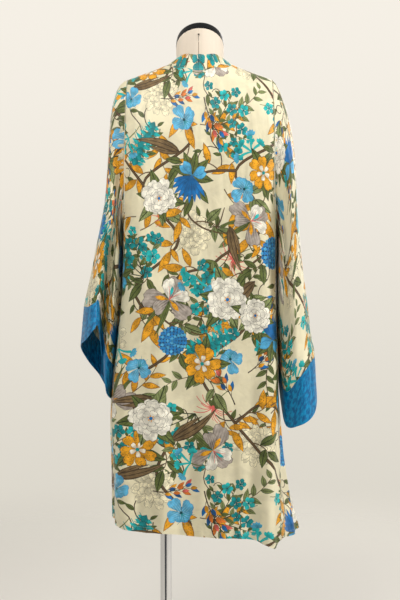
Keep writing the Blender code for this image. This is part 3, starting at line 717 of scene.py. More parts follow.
def trumpets(x, y, angle, size):
    """Four turquoise trumpets on one stalk."""
    stem(sweep((x, y), angle + math.pi, size * 0.7, 0.5), size * 0.05, OLIVE)
    for k in range(4):
        turn = angle + (k - 1.5) * 0.75
        tube = sweep((x, y), turn, size * (0.45 + 0.15 * (k % 2)), 0.4 * (k - 1.5), 4)
        stem(tube, size * 0.055, PALE_TEAL, 2.2)
        tones = (SKY if k % 2 else PALE_TEAL, TEAL)
        for j in range(5):
            ahead = turn + (j - 2) * 0.5
            blade(tube[-1], ahead, size * 0.26, size * 0.07, tones, "streaks", 0.8, 1.3, steps=4)


def long_leaf(x, y, angle, size):
    """Two long dry leaves which bend away from each other."""
    tones = (TAN, DARK_TAN)
    blade((x, y), angle + 0.55, size * 0.7, size * 0.055, tones, "veins", 0.9, 0.75, -0.2, 8, 0.0008)
    blade((x, y), angle, size, size * 0.085, tones, "veins", 0.9, 0.70, 0.30, 9, 0.0010)


def leaf_spray(tone, count):
    """Maker of a curved twig with leaves on both sides."""
    def spray(x, y, angle, size):
        main = sweep((x, y), angle, size, 0.7)
        stem(main, size * 0.024, BROWN)
        for k in range(1, count + 1):
            side = other_side(k)
            long = size * 2.6 / (count + 1) * (1.15 - 0.35 * k / count)
            leaf(main[round(k * 8 / count)], angle + 0.7 * k / count + side * 0.70, long, tone, 0.15 * side)
    return spray


def vine(x, y, angle, size):
    """Long thin winding shoot with a few small leaves and a curled end."""
    path = [(x, y)]
    for long, bend, steps in ((0.34, 1.5, 5), (0.42, -2.3, 6), (0.30, 2.0, 5), (0.22, 4.4, 8)):
        path += sweep(path[-1], angle, size * long, bend, steps)[1:]
        angle += bend
    stem(path, VINE_WIDTH, DARK_TAN, 0.6)
    for k in (3, 7, 10, 14, 18):
        ahead = math.atan2(path[k + 1][1] - path[k][1], path[k + 1][0] - path[k][0])
        side = other_side(k)
        long = 0.020 + 0.010 * dice.random()
        leaf(path[k], ahead + 0.8 * side, long, "olive" if k % 5 else "sage", 0.1 * side)


def branch(points, through):
    """Winding brown branch through a few points, with side twigs and leaves.

    A branch that goes through starts again where it ends, one repeat higher up.
    """
    points = np.array(points, dtype=float)
    if through:
        points = np.concatenate((points[-2:-1] - (0.0, REPEAT[1]), points, points[1:2] + (0.0, REPEAT[1])))
    else:
        points = np.concatenate((points[:1], points, points[-1:]))
    path = []
    for k in range(1, len(points) - 2):
        p0, p1, p2, p3 = points[k - 1:k + 3]
        for t in np.linspace(0.0, 1.0, 8, endpoint=False):
            path.append(0.5 * (2 * p1 + (p2 - p0) * t + (2 * p0 - 5 * p1 + 4 * p2 - p3) * t ** 2
                               + (3 * p1 - p0 - 3 * p2 + p3) * t ** 3))
    path.append(points[-2])
    stem(path, BRANCH_WIDTH * 1.25, DARK_BROWN, 1.0 if through else 0.35)
    stem(path, BRANCH_WIDTH * 0.75, BROWN, 1.0 if through else 0.35)
    tones = ("mustard", "olive", "mustard", "sage", "mustard", "olive")
    for k in range(4, len(path) - 4, 5):
        ahead = path[k + 1] - path[k]
        side = other_side(k // 5)
        turn = math.atan2(ahead[1], ahead[0]) + side * 0.9
        twig = sweep(tuple(path[k]), turn, 0.030 + 0.03 * dice.random(), side * -1.1, 6)
        stem(twig, BRANCH_WIDTH * 0.6, BROWN)
        tone = tones[(k // 5) % 6]
        leaf(twig[-1], turn - 0.8 * side, 0.046 + 0.012 * dice.random(), tone, 0.12 * side)
        leaf(twig[3], turn + 0.5 * side, 0.038 + 0.014 * dice.random(), tone, -0.1 * side)
        leaf(twig[5], turn - 1.9 * side, 0.034 + 0.012 * dice.random(), tone, 0.1 * side)


# Branches: whether it goes through the whole repeat, then its points
BRANCHES = (
    (True, ((0.05, 0.00), (0.12, 0.10), (0.05, 0.22), (0.14, 0.33), (0.22, 0.43), (0.15, 0.56), (0.05, 0.66),
            (0.11, 0.77), (0.05, 0.86))),
    (True, ((0.28, 0.00), (0.24, 0.11), (0.37, 0.19), (0.31, 0.31), (0.43, 0.40), (0.35, 0.52), (0.46, 0.62),
            (0.38, 0.74), (0.28, 0.86))),
    (True, ((0.55, 0.00), (0.48, 0.12), (0.60, 0.22), (0.51, 0.34), (0.61, 0.45), (0.52, 0.57), (0.62, 0.67),
            (0.53, 0.77), (0.55, 0.86))),
    (False, ((0.22, 0.43), (0.29, 0.37), (0.37, 0.43), (0.34, 0.50), (0.28, 0.49))),
    (False, ((0.43, 0.40), (0.51, 0.42), (0.55, 0.50), (0.48, 0.54), (0.45, 0.49))),
    (False, ((0.37, 0.19), (0.46, 0.20), (0.49, 0.28), (0.43, 0.32), (0.40, 0.27))),
    (False, ((0.15, 0.56), (0.25, 0.60), (0.27, 0.68), (0.21, 0.71), (0.18, 0.66))),
    (False, ((0.38, 0.74), (0.31, 0.70), (0.22, 0.76), (0.17, 0.84), (0.22, 0.87))),
    (False, ((0.60, 0.22), (0.67, 0.16), (0.73, 0.22), (0.70, 0.30), (0.65, 0.28))),
)
# Motifs from the bottom layer to the top one: maker, whether each is printed once more half a repeat
# away, then x mm, y mm, turn in degrees and size mm of each
MOTIFS = (
    (leaf_spray("mustard", 6), True, ((300, 250, 60, 108), (60, 290, 330, 104), (400, 230, 120, 110),
                                      (150, 520, 20, 108), (480, 500, 160, 104), (300, 720, 210, 110),
                                      (560, 100, 80, 100), (600, 320, 200, 100))),
    (leaf_spray("olive", 8), True, ((230, 110, 40, 104), (540, 390, 100, 100), (400, 330, 310, 98),
                                    (20, 620, 330, 104), (300, 600, 70, 98), (500, 840, 20, 100),
                                    (120, 180, 120, 96), (60, 20, 60, 100))),
    (leaf_spray("sage", 7), False, ((130, 330, 10, 96), (440, 640, 350, 92), (210, 800, 160, 96),
                                    (600, 520, 200, 90), (370, 60, 200, 90))),
    (drawn_flower, False, ((250, 180, 0, 100), (480, 330, 0, 96), (60, 560, 0, 104), (330, 790, 0, 98),
                           (200, 470, 0, 94), (560, 20, 0, 98))),
    (thread_flower, False, ((380, 380, 40, 66), (90, 630, 140, 64), (540, 280, 100, 60), (250, 40, 200, 62),
                            (430, 705, 60, 68))),
    (comb_flower, False, ((600, 130, 60, 88), (120, 470, 60, 96), (440, 570, 200, 92), (190, 720, 320, 96))),
    (florets, False, ((170, 60, 30, 124), (430, 100, 200, 112), (40, 330, 100, 118), (230, 580, 150, 126),
                      (470, 720, 60, 122), (590, 420, 320, 116), (390, 450, 20, 110), (60, 820, 250, 116))),
    (iris, False, ((200, 300, 100, 104), (530, 470, 240, 100), (30, 690, 60, 96), (430, 800, 130, 96),
                   (340, 300, 200, 92))),
    (long_leaf, True, ((240, 260, 200, 118), (330, 430, 30, 122), (510, 150, 330, 112), (520, 780, 200, 118),
                       (80, 740, 300, 116))),
    (trumpets, True, ((20, 120, 30, 56), (330, 150, 300, 58), (170, 400, 190, 56), (470, 420, 60, 56))),
    (buds, True, ((40, 200, 60, 84), (450, 30, 100, 88), (250, 460, 20, 80), (380, 700, 290, 82))),
    (fan_flower, False, ((480, 200, 70, 74), (290, 560, 250, 70), (40, 420, 10, 66), (120, 870, 140, 68))),
    (lobed_flower, False, ((350, 230, 30, 60), (110, 230, 200, 56), (250, 690, 120, 62), (500, 80, 300, 60),
                           (590, 620, 60, 54), (390, 600, 100, 56), (20, 30, 250, 56))),
    (gold_flower, False, ((455, 610, 20, 84), (300, 195, 60, 78), (80, 500, 140, 84), (590, 800, 0, 80),
                          (140, 290, 30, 82))),
    (pompom, False, ((280, 370, 0, 70), (520, 560, 0, 62), (70, 800, 0, 64))),
    (peony, False, ((90, 96, 20, 94), (155, 145, 200, 72), (395, 470, 80, 96), (330, 505, 10, 74),
                    (560, 730, 40, 92), (150, 620, 120, 84), (560, 250, 200, 80))),
)
# The branches lie over this many layers of motifs
BRANCH_LAYER = 5
# Shoots that fill the ground under the larger motifs: how many across and up the repeat
VINE_COLUMNS, VINE_ROWS = 4, 6
for k in range(VINE_COLUMNS * VINE_ROWS):
    column, row = k % VINE_COLUMNS, k // VINE_COLUMNS
    x = (column + 0.5 * (row % 2) + 0.3 * dice.random()) * REPEAT[0] / VINE_COLUMNS
    y = (row + 0.4 * dice.random()) * REPEAT[1] / VINE_ROWS
    vine(x, y, math.tau * dice.random(), 0.17 + 0.05 * dice.random())
for number, (maker, twice, places) in enumerate(MOTIFS):
    if number == BRANCH_LAYER:
        for through, points in BRANCHES:
            branch(points, through)
    for x, y, turn, size in places:
        maker(x / 1000, y / 1000, math.radians(turn), size / 1000)
        if twice:
            maker((x / 1000 + REPEAT[0] / 2) % REPEAT[0], (y / 1000 + REPEAT[1] / 2) % REPEAT[1],
                  math.radians(turn + 150), size / 1000 * 0.9)


# How far a hem is turned up and stitched down
HEM_TURN = 0.012


def add_cloth_relief(tree, shader, cloth):
    """Weave, crumples, soft upright folds, the step of the turned hem and the pucker along every seam."""
    weave = []
    for way, scale in (("X", 420.0), ("Y", 360.0)):
        weave.append(put(tree, "ShaderNodeTexWave", {"Vector": cloth, "Scale": scale, "Distortion": 0.3},
                         wave_type="BANDS", bands_direction=way).outputs[1])
    normal = relief(tree, sums(tree, "ADD", *weave), 0.12, 0.0002)
    normal = relief(tree, noise(tree, cloth, 38.0, 3.0, 0.6), 0.40, 0.004, normal)
    stretch = {0: cloth, 1: (17.0, 3.2, 1.0)}
    hanging = put(tree, "ShaderNodeVectorMath", stretch, operation="MULTIPLY").outputs[0]
    normal = relief(tree, noise(tree, hanging, 1.0, 2.0, 0.4), 0.75, 0.016, normal)
    border = put(tree, "ShaderNodeAttribute", attribute_name="border").outputs["Vector"]
    flank, drop, hem = put(tree, "ShaderNodeSeparateXYZ", {0: border}).outputs
    off_stitches = sums(tree, "ABSOLUTE", sums(tree, "SUBTRACT", hem, HEM_TURN))
    near = sums(tree, "MINIMUM", sums(tree, "MINIMUM", flank, drop), off_stitches)
    ripple = noise(tree, cloth, 170.0, 1.0)
    pucker = sums(tree, "MULTIPLY", ripple, between(tree, near, 0.0, 0.010, 1.0, 0.0))
    step = between(tree, hem, HEM_TURN - 0.0006, HEM_TURN + 0.0004, 0.6, 0.0)
    normal = relief(tree, sums(tree, "ADD", pucker, step), 0.45, 0.0012, normal)
    tree.links.new(normal, shader.inputs["Normal"])


def shade_of_print():
    """Printed satin: each shape's dye and ink, with its veins, streaks or dots, over a fine weave."""
    finish, tree, shader = new_finish("printed_satin", 0.46)
    shader.inputs["Sheen Weight"].default_value = 0.04
    shader.inputs["Sheen Roughness"].default_value = 0.4
    shader.inputs["Specular IOR Level"].default_value = 0.32
    cloth = put(tree, "ShaderNodeUVMap", uv_map="cloth").outputs[0]
    dye = put(tree, "ShaderNodeAttribute", attribute_name="dye")
    ink = put(tree, "ShaderNodeAttribute", attribute_name="ink")
    local = put(tree, "ShaderNodeAttribute", attribute_name="motif").outputs["Vector"]
    along, across, pattern = put(tree, "ShaderNodeSeparateXYZ", {0: local}).outputs
    wobble = noise(tree, cloth, 230.0, 2.0)
    wash = noise(tree, cloth, 75.0, 3.0)

    # Outline of a blade: the share of its half width at each place along it
    rise = sums(tree, "POWER", sums(tree, "MAXIMUM", along, 0.0), dye.outputs["Alpha"])
    half = sums(tree, "MAXIMUM", sums(tree, "SINE", sums(tree, "MULTIPLY", rise, math.pi)), 0.12)
    sideways = sums(tree, "ABSOLUTE", across)
    edge = between(tree, sums(tree, "DIVIDE", sideways, half), 0.70, 0.92)
    edge = sums(tree, "MULTIPLY", edge, ink.outputs["Alpha"])

    def only(kind):
        return sums(tree, "COMPARE", pattern, PATTERNS[kind], 0.05)

    slant = sums(tree, "MULTIPLY_ADD", sideways, -0.35, along)
    comb = sums(tree, "PINGPONG", sums(tree, "MULTIPLY", slant, 7.0), 0.5)
    midrib = between(tree, sideways, 0.04, 0.13, 1.0, 0.0)
    veins = sums(tree, "MAXIMUM", between(tree, comb, 0.06, 0.18, 0.55, 0.0), midrib)
    wavy = sums(tree, "MULTIPLY_ADD", wobble, 0.7, sums(tree, "MULTIPLY", across, 3.2))
    lines = between(tree, sums(tree, "PINGPONG", wavy, 0.5), 0.08, 0.26, 0.75, 0.0)
    streaks = sums(tree, "MULTIPLY", lines, between(tree, along, 0.15, 0.95, 1.0, 0.15))
    cells = put(tree, "ShaderNodeTexVoronoi", {"Vector": cloth, "Scale": 300.0, "Randomness": 0.8})
    dots = between(tree, cells.outputs["Distance"], 0.22, 0.40, 0.9, 0.0)
    marks = sums(tree, "MULTIPLY", veins, only("veins"))
    marks = sums(tree, "MULTIPLY_ADD", streaks, only("streaks"), marks)
    marks = sums(tree, "MULTIPLY_ADD", dots, only("dots"), marks)
    marks = sums(tree, "MAXIMUM", marks, edge, clamp=True)
    tone = blend_colours(tree, marks, dye.outputs["Color"], ink.outputs["Color"])
    printed = sums(tree, "GREATER_THAN", pattern, 0.1)
    cloudy = between(tree, wash, 0.32, 0.70, 0.72, 1.22)
    cloudy = sums(tree, "MULTIPLY", cloudy, between(tree, along, 0.0, 0.75, 0.74, 1.06))
    mist = noise(tree, cloth, 17.0, 4.0, 0.8)
    ground = between(tree, mist, 0.36, 0.66, 0.89, 1.04)
    cloudy = sums(tree, "MULTIPLY_ADD", printed, sums(tree, "SUBTRACT", cloudy, ground), ground)
    shade = put(tree, "ShaderNodeHueSaturation", {"Color": tone, "Value": cloudy}).outputs[0]
    tree.links.new(shade, shader.inputs["Base Color"])

    add_cloth_relief(tree, shader, cloth)
    tree.links.new(between(tree, wobble, 0.3, 0.7, 0.40, 0.54), shader.inputs["Roughness"])
    return finish


def shade_of_wrong_side():
    """Wrong side of the cloth: the ground colour, duller, where the print shows through as soft blots."""
    finish, tree, shader = new_finish("cloth_wrong_side", 0.66)
    shader.inputs["Specular IOR Level"].default_value = 0.25
    cloth = put(tree, "ShaderNodeUVMap", uv_map="cloth").outputs[0]
    tone = (0.66, 0.60, 0.43, 1.0)
    for scale, low, ink in ((26.0, 0.55, (0.26, 0.43, 0.38, 1.0)), (31.0, 0.58, (0.50, 0.36, 0.14, 1.0)),
                            (37.0, 0.58, (0.30, 0.31, 0.17, 1.0)), (23.0, 0.63, (0.22, 0.38, 0.48, 1.0))):
        blot = between(tree, noise(tree, cloth, scale, 4.0, 1.2), low, low + 0.05, 0.0, 0.75)
        tone = blend_colours(tree, blot, tone, ink)
    tree.links.new(tone, shader.inputs["Base Color"])
    add_cloth_relief(tree, shader, cloth)
    return finish


def loop_edges(triangles):
    """Edges that only one triangle has, each as start and end."""
    starts = triangles.reshape(-1)
    ends = np.roll(triangles, -1, axis=1).reshape(-1)
    big = triangles.max() + 1
    alone = ~np.isin(starts * big + ends, ends * big + starts)
    return starts[alone], ends[alone]


def triangulate(points, faces):
    """Triangles of flat points, faces given as rings; returns points, triangles and the top face of each."""
    made = delaunay_2d_cdt([Vector(p) for p in points], [], faces, 0, 1e-6, True)
    kept = [(face, max(covers)) for face, covers in zip(made[2], made[5]) if 0 in covers]
    flat = np.array([tuple(p) for p in made[0]])
    return flat, np.array([face for face, _ in kept]), np.array([top for _, top in kept]), made[3]


def place_on(grid, u, v, flat):
    """Places on the hanging grid of flat points: each column has a u, each grid point a v."""
    column = np.interp(flat[:, 0], u, np.arange(len(u)))
    j = np.clip(column.astype(int), 0, len(u) - 2)
    fj = (column - j)[:, None]
    levels = v[:, j].T * (1 - fj) + v[:, j + 1].T * fj
    i = np.clip((levels <= flat[:, 1:2]).sum(axis=1) - 1, 0, len(v) - 2)
    low = np.take_along_axis(levels, i[:, None], 1)
    high = np.take_along_axis(levels, i[:, None] + 1, 1)
    fi = np.clip((flat[:, 1:2] - low) / np.maximum(high - low, 1e-9), 0.0, 1.0)
    return (grid[i, j] * (1 - fi) * (1 - fj) + grid[i + 1, j] * fi * (1 - fj)
            + grid[i, j + 1] * (1 - fi) * fj + grid[i + 1, j + 1] * fi * fj)


def shapes_over(low, high, offset):
    """Rings of the printed shapes over a part of a piece, from the bottom layer to the top one."""
    found = []
    for number, shape in enumerate(shapes):
        start, end = shape["points"].min(axis=0) + offset, shape["points"].max(axis=0) + offset
        first = np.ceil((low - end) / REPEAT).astype(int)
        last = np.floor((high - start) / REPEAT).astype(int)
        for a in range(first[0], last[0] + 1):
            for b in range(first[1], last[1] + 1):
                shift = np.array((a * REPEAT[0], b * REPEAT[1])) + offset
                found.append((number, shift))
    return found


def outward_normals(grid, centre=None):
    """Unit normals of a grid of points, away from its centre line, which is x = y = 0 if none is given."""
    if centre is None:
        centre = grid * (0, 0, 1)
    normals = np.cross(np.gradient(grid, axis=0), np.gradient(grid, axis=1))
    normals /= np.maximum(np.linalg.norm(normals, axis=2, keepdims=True), 1e-12)
    return normals if np.sum(normals * (grid - centre)) > 0 else -normals


# Spacing of the points inside a piece, and width of the strips in which it is cut up
CLOTH_STEP = 0.0075
CLOTH_STRIP = 0.10


def cut_outer_face(u, v, offset):
    """The face that shows, cut up along the printed shapes; with no offset it is plain.

    Returns its flat points, its triangles, the print of each triangle and the shapes with their shifts.
    """
    borders = np.linspace(u[0], u[-1], max(round((u[-1] - u[0]) / CLOTH_STRIP), 1) + 1)
    flats, triangles, tops, laid, total = [], [], [], [], 0
    for left, right in zip(borders, borders[1:]):
        columns = np.linspace(left, right, max(round((right - left) / CLOTH_STEP), 1) + 1)
        tables = [np.interp(columns, u, v[k]) for k in (0, -1)]
        ring = list(zip(columns, tables[0]))
        inside = []
        for x, top, bottom in zip(columns, *tables):
            rows = np.linspace(top, bottom, max(round((bottom - top) / CLOTH_STEP), 1) + 1)
            side = [(x, y) for y in rows[1:-1]]
            if x == columns[-1]:
                ring += side + list(zip(columns, tables[1]))[::-1] + first_side[::-1]
            elif x == columns[0]:
                first_side = side
            else:
                inside += side
        points, faces, numbers = list(ring), [list(range(len(ring)))], [0]
        if offset is not None:
            low = np.array((left, tables[0].min()))
            high = np.array((right, tables[1].max()))
            for number, shift in shapes_over(low, high, np.array(offset)):
                outline = shapes[number]["points"] + shift
                faces.append(list(range(len(points), len(points) + len(outline))))
                points += [tuple(p) for p in outline]
                numbers.append(len(laid) + 1)
                laid.append((number, shift))
        flat, cut, top, _ = triangulate(points + inside, faces)
        flats.append(flat)
        triangles.append(cut + total)
        tops.append(np.array(numbers)[top])
        total += len(flat)
    flat, cut, top = np.concatenate(flats), np.concatenate(triangles), np.concatenate(tops)
    rounded = np.round(flat * 1e6).astype(np.int64)
    _, first, index = np.unique(rounded, axis=0, return_index=True, return_inverse=True)
    flat, cut = flat[first], index.reshape(-1)[cut]
    sound = (cut[:, 0] != cut[:, 1]) & (cut[:, 1] != cut[:, 2]) & (cut[:, 2] != cut[:, 0])
    return flat, cut[sound], top[sound], laid


def cut_wrong_side(u, v, flat, cut):
    """The wrong side: the same border, with fewer points between.

    Returns the border of the outer face, the flat points and triangles, and the twin of each border point.
    """
    starts, ends = loop_edges(cut)
    following = dict(zip(starts.tolist(), ends.tolist()))
    loops = []
    while following:
        loop = [next(iter(following))]
        while loop[-1] in following:
            loop.append(following.pop(loop[-1]))
        loops.append(loop[:-1])
    loop = max(loops, key=len)
    inside, step = [], CLOTH_STEP * 1.4
    for x in np.arange(u[0] + CLOTH_STEP, u[-1] - CLOTH_STEP / 2, step):
        top_v, bottom_v = (np.interp(x, u, v[k]) for k in (0, -1))
        rows = max(round((bottom_v - top_v) / step), 2)
        inside += [(x, y) for y in np.linspace(top_v, bottom_v, rows + 1)[1:-1]]
    border = [tuple(p) for p in flat[loop]]
    back, back_cut, _, source = triangulate(border + inside, [list(range(len(border)))])
    twin = {k: number for number, sources in enumerate(source) for k in sources}
    return loop, back, back_cut, twin


def note_print(mesh, flat_corners, styles, laid):
    """Writes each triangle's dye, ink and place within its shape to the corners of the mesh."""
    ground = {"frame": (0, 0, 1, 0, 1, 1, 0), "dye": (*CREAM, 0), "ink": (*CREAM, 0), "pattern": 0.0}
    found = [ground] + [shapes[number] for number, _ in laid]
    frames = np.array([shape["frame"] for shape in found], dtype=float)[styles]
    shifts = np.array([(0, 0)] + [tuple(shift) for _, shift in laid], dtype=float)[styles]
    kinds = np.array([shape["pattern"] for shape in found])[styles]
    away = flat_corners - shifts - frames[:, :2]
    along = (away[:, 0] * frames[:, 2] + away[:, 1] * frames[:, 3]) / frames[:, 4]
    across = -away[:, 0] * frames[:, 3] + away[:, 1] * frames[:, 2]
    across = (across - frames[:, 6] * frames[:, 4] * along ** 2) / frames[:, 5]
    local = np.stack((along, across, kinds), 1).astype(np.float32)
    for label in ("dye", "ink"):
        layer = mesh.attributes.new(label, "FLOAT_COLOR", "CORNER")
        colours = np.array([shape[label] for shape in found], dtype=np.float32)[styles]
        layer.data.foreach_set("color", colours.reshape(-1))
    mesh.attributes.new("motif", "FLOAT_VECTOR", "CORNER").data.foreach_set("vector", local.reshape(-1))


def cut_cloth(name, grid, u, v, finishes, offset=None, centre=None):
    """A piece of cloth cut to shape, as it hangs, with both faces and closed edges.

    The grid holds the points of its outer face, and u and v their places on the flat cloth. The cloth is cut
    up along the printed shapes, so that the print is part of the piece. With no offset the cloth is plain.
    """
    flat, cut, top, laid = cut_outer_face(u, v, offset)
    loop, back, back_cut, twin = cut_wrong_side(u, v, flat, cut)
    normals = outward_normals(grid, centre)
    outer = place_on(grid, u, v, flat)
    inner = place_on(grid - WALL * normals, u, v, back)
    side = np.cross(outer[cut[:, 1]] - outer[cut[:, 0]], outer[cut[:, 2]] - outer[cut[:, 0]])
    flip = np.sum(side * place_on(normals, u, v, flat[cut[:, 0]])) < 0
    if flip:
        cut, back_cut = cut[:, ::-1], back_cut[:, ::-1]
    base = len(outer)
    rim = []
    for k in range(len(loop)):
        after = (k + 1) % len(loop)
        if k in twin and after in twin:
            a, b, c, d = loop[k], loop[after], base + twin[after], base + twin[k]
            rim += [(a, b, c), (a, c, d)] if flip else [(b, a, d), (b, d, c)]
    faces = [*cut.tolist(), *(back_cut[:, ::-1] + base).tolist(), *rim]
    mesh = bpy.data.meshes.new(name)
    mesh.from_pydata(np.concatenate((outer, inner)).tolist(), [], faces)
    for finish in finishes:
        mesh.materials.append(finish)
    slots = np.ones(len(faces), dtype=np.int32)
    slots[:len(cut)] = 0
    mesh.polygons.foreach_set("material_index", np.minimum(slots, len(finishes) - 1))
    corners = np.zeros(len(mesh.loops), dtype=np.int32)
    mesh.loops.foreach_get("vertex_index", corners)
    flat_corners = np.concatenate((flat, back))[corners]
    uv = mesh.uv_layers.new(name="cloth")
    uv.uv.foreach_set("vector", flat_corners.astype(np.float32).reshape(-1))
    x, y = flat_corners.T
    flank = np.minimum(x - u[0], u[-1] - x)
    border = np.stack((flank, y - np.interp(x, u, v[0]), np.interp(x, u, v[-1]) - y), 1).astype(np.float32)
    layer = mesh.attributes.new("border", "FLOAT_VECTOR", "CORNER")
    layer.data.foreach_set("vector", border.reshape(-1))
    if offset is not None:
        styles = np.zeros(len(faces), dtype=int)
        styles[:len(cut)] = top
        note_print(mesh, flat_corners, np.repeat(styles, 3), laid)
    mesh.shade_smooth()
    mesh.set_sharp_from_angle(angle=math.radians(50))
    return put_in_scene(name, mesh)


# Creases of a hanging piece: how many down and across it, depth
CREASES = (
    (3, 11, 0.0031),
    (8, 20, 0.0013),
    (30, 30, 0.0004),
)


def soft_creases(grid, seed):
    """Moves a grid of points in and out by shallow waves and smaller crumples, with none at its seams."""
    rule = np.random.default_rng(seed)
    rows, columns = np.linspace(0.0, 1.0, grid.shape[0]), np.linspace(0.0, 1.0, grid.shape[1])
    depth = np.zeros(grid.shape[:2])
    for tall, wide, size in CREASES:
        knots = rule.normal(size=(tall + 1, wide + 1))
        i = np.minimum((rows * tall).astype(int), tall - 1)
        j = np.minimum((columns * wide).astype(int), wide - 1)
        fi, fj = (rows * tall - i)[:, None], (columns * wide - j)[None, :]
        fi, fj = fi * fi * (3 - 2 * fi), fj * fj * (3 - 2 * fj)
        left = knots[i][:, j] * (1 - fi) + knots[i + 1][:, j] * fi
        right = knots[i][:, j + 1] * (1 - fi) + knots[i + 1][:, j + 1] * fi
        depth += size * (left * (1 - fj) + right * fj)
    grow = np.clip(rows / 0.25, 0.0, 1.0)[:, None] * (0.35 + 0.65 * rows[:, None])
    still = np.clip(np.minimum(columns, 1 - columns) / 0.06, 0.0, 1.0)[None, :]
    depth = np.maximum(depth * grow * still, -0.0004 - 0.004 * grow)
    return grid + outward_normals(grid) * depth[..., None]


def shade_of_thread(name, colour):
    """Twisted polyester thread."""
    finish, tree, shader = new_finish(name, 0.5)
    place = put(tree, "ShaderNodeTexCoord").outputs["Object"]
    twist = noise(tree, place, 900.0, 2.0)
    darker = (*(0.6 * c for c in colour), 1.0)
    tone = blend_colours(tree, between(tree, twist, 0.35, 0.65), darker, (*colour, 1.0))
    tree.links.new(tone, shader.inputs["Base Color"])
    tree.links.new(relief(tree, twist, 0.4, 0.0001), shader.inputs["Normal"])
    return finish


def stitch_rule():
    """Node tree which lays one stitch after another along lines of edges."""
    tree = bpy.data.node_groups.new("stitches_along", "GeometryNodeTree")
    for label, kind in (("Seam", "Geometry"), ("Spacing", "Float"), ("Length", "Float"),
                        ("Thickness", "Float"), ("Seed", "Int"), ("Thread", "Material")):
        tree.interface.new_socket(name=label, in_out="INPUT", socket_type=f"NodeSocket{kind}")
    tree.interface.new_socket(name="Stitches", in_out="OUTPUT", socket_type="NodeSocketGeometry")
    given = tree.nodes.new("NodeGroupInput").outputs
    curve = put(tree, "GeometryNodeMeshToCurve", {0: given["Seam"]}).outputs[0]
    points = put(tree, "GeometryNodeCurveToPoints", {"Curve": curve, "Length": given["Spacing"]},
                 mode="LENGTH").outputs
    bead = put(tree, "GeometryNodeMeshUVSphere", {"Segments": 6, "Rings": 4, "Radius": 0.5}).outputs["Mesh"]
    uneven = put(tree, "FunctionNodeRandomValue", {2: 0.86, 3: 1.08, "Seed": given["Seed"]}).outputs[1]
    long = sums(tree, "MULTIPLY", given["Length"], uneven)
    across = given["Thickness"]
    size = put(tree, "ShaderNodeCombineXYZ", {0: across, 1: across, 2: long}).outputs[0]
    row = put(tree, "GeometryNodeInstanceOnPoints",
              {"Points": points["Points"], "Instance": bead, "Rotation": points["Rotation"], "Scale": size})
    whole = put(tree, "GeometryNodeRealizeInstances", {0: row.outputs[0]}).outputs[0]
    sewn = put(tree, "GeometryNodeSetMaterial", {"Geometry": whole, "Material": given["Thread"]}).outputs[0]
    tree.links.new(sewn, tree.nodes.new("NodeGroupOutput").inputs[0])
    return tree


STITCH_SPACING = 0.0031
STITCH_LENGTH = 0.0031 * 0.76
THREAD_THICKNESS = 0.00045


def sew(name, lines, thread):
    """Stitches along lines of points, as one plain mesh."""
    points = [tuple(point) for line in lines for point in line]
    edges, first = [], 0
    for line in lines:
        edges += [(first + k, first + k + 1) for k in range(len(line) - 1)]
        first += len(line)
    mesh = bpy.data.meshes.new(name)
    mesh.from_pydata(points, edges, [])
    seam = put_in_scene(name, mesh)
    modifier = seam.modifiers.new("stitches", "NODES")
    modifier.node_group = stitches_along
    sizes = {"Spacing": STITCH_SPACING, "Length": STITCH_LENGTH, "Thickness": THREAD_THICKNESS, "Seed": 7,
             "Thread": thread}
    for item in stitches_along.interface.items_tree:
        if item.name in sizes:
            modifier[item.identifier] = sizes[item.name]
    bpy.context.view_layer.update()
    made = bpy.data.meshes.new_from_object(seam.evaluated_get(bpy.context.evaluated_depsgraph_get()))
    seam.modifiers.clear()
    seam.data = made
    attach(seam, "root")
    return seam


def line_on(grid, u, v, flat, centre=None):
    """Places just over the cloth of points given on the flat cloth."""
    return place_on(grid + 0.00012 * outward_normals(grid, centre), u, v, np.array(flat))


def hem_line(grid, u, v, above, centre=None):
    """Places of a line of stitches a little above the lower edge."""
    across = np.linspace(u[0] + 0.0015, u[-1] - 0.0015, 240)
    return line_on(grid, u, v, np.stack((across, np.interp(across, u, v[-1]) - above), 1), centre)


print_finish = shade_of_print()
wrong_side = shade_of_wrong_side()
pale_thread = shade_of_thread("pale_thread", (0.62, 0.56, 0.40))
stitches_along = stitch_rule()

# Back. One wide piece from the shoulder seams to the hem, which falls almost straight from the
# shoulder blades, with soft folds that deepen to the hem.
HEM_Z = 0.397
BACK_Y = 0.100
FRONT_Y = -0.100
UNDERARM_Z = 1.10
SHOULDER_END = 0.160
FRONT_EDGE_X = 0.056
NECK_SEAM = (0.0730, 0.0740)
CORNER_BACK = 0.045
CORNER_FRONT = 0.050
SEAM_BELOW_CORNER = 0.030
ARMHOLE_BACK = 0.012
CORNER_STEPS = 9
YOKE_LENGTH = 0.24
BACK_HALF_WIDTH = 0.196
BACK_COLUMNS = 54
# Place on the bolt from which the back is cut
BACK_CUT = (0.16, 0.10)
# Hem: x from the middle, height of the edge above the floor
HEM_LINE = (
    (-0.260, 0.3740),
    (-0.205, 0.3785),
    (-0.181, 0.3840),
    (-0.167, 0.3700),
    (-0.150, 0.3775),
    (-0.122, 0.3880),
    (-0.044, 0.3955),
    (0.022, 0.3985),
    (0.081, 0.4050),
    (0.132, 0.4075),
    (0.165, 0.4135),
    (0.200, 0.4230),
)
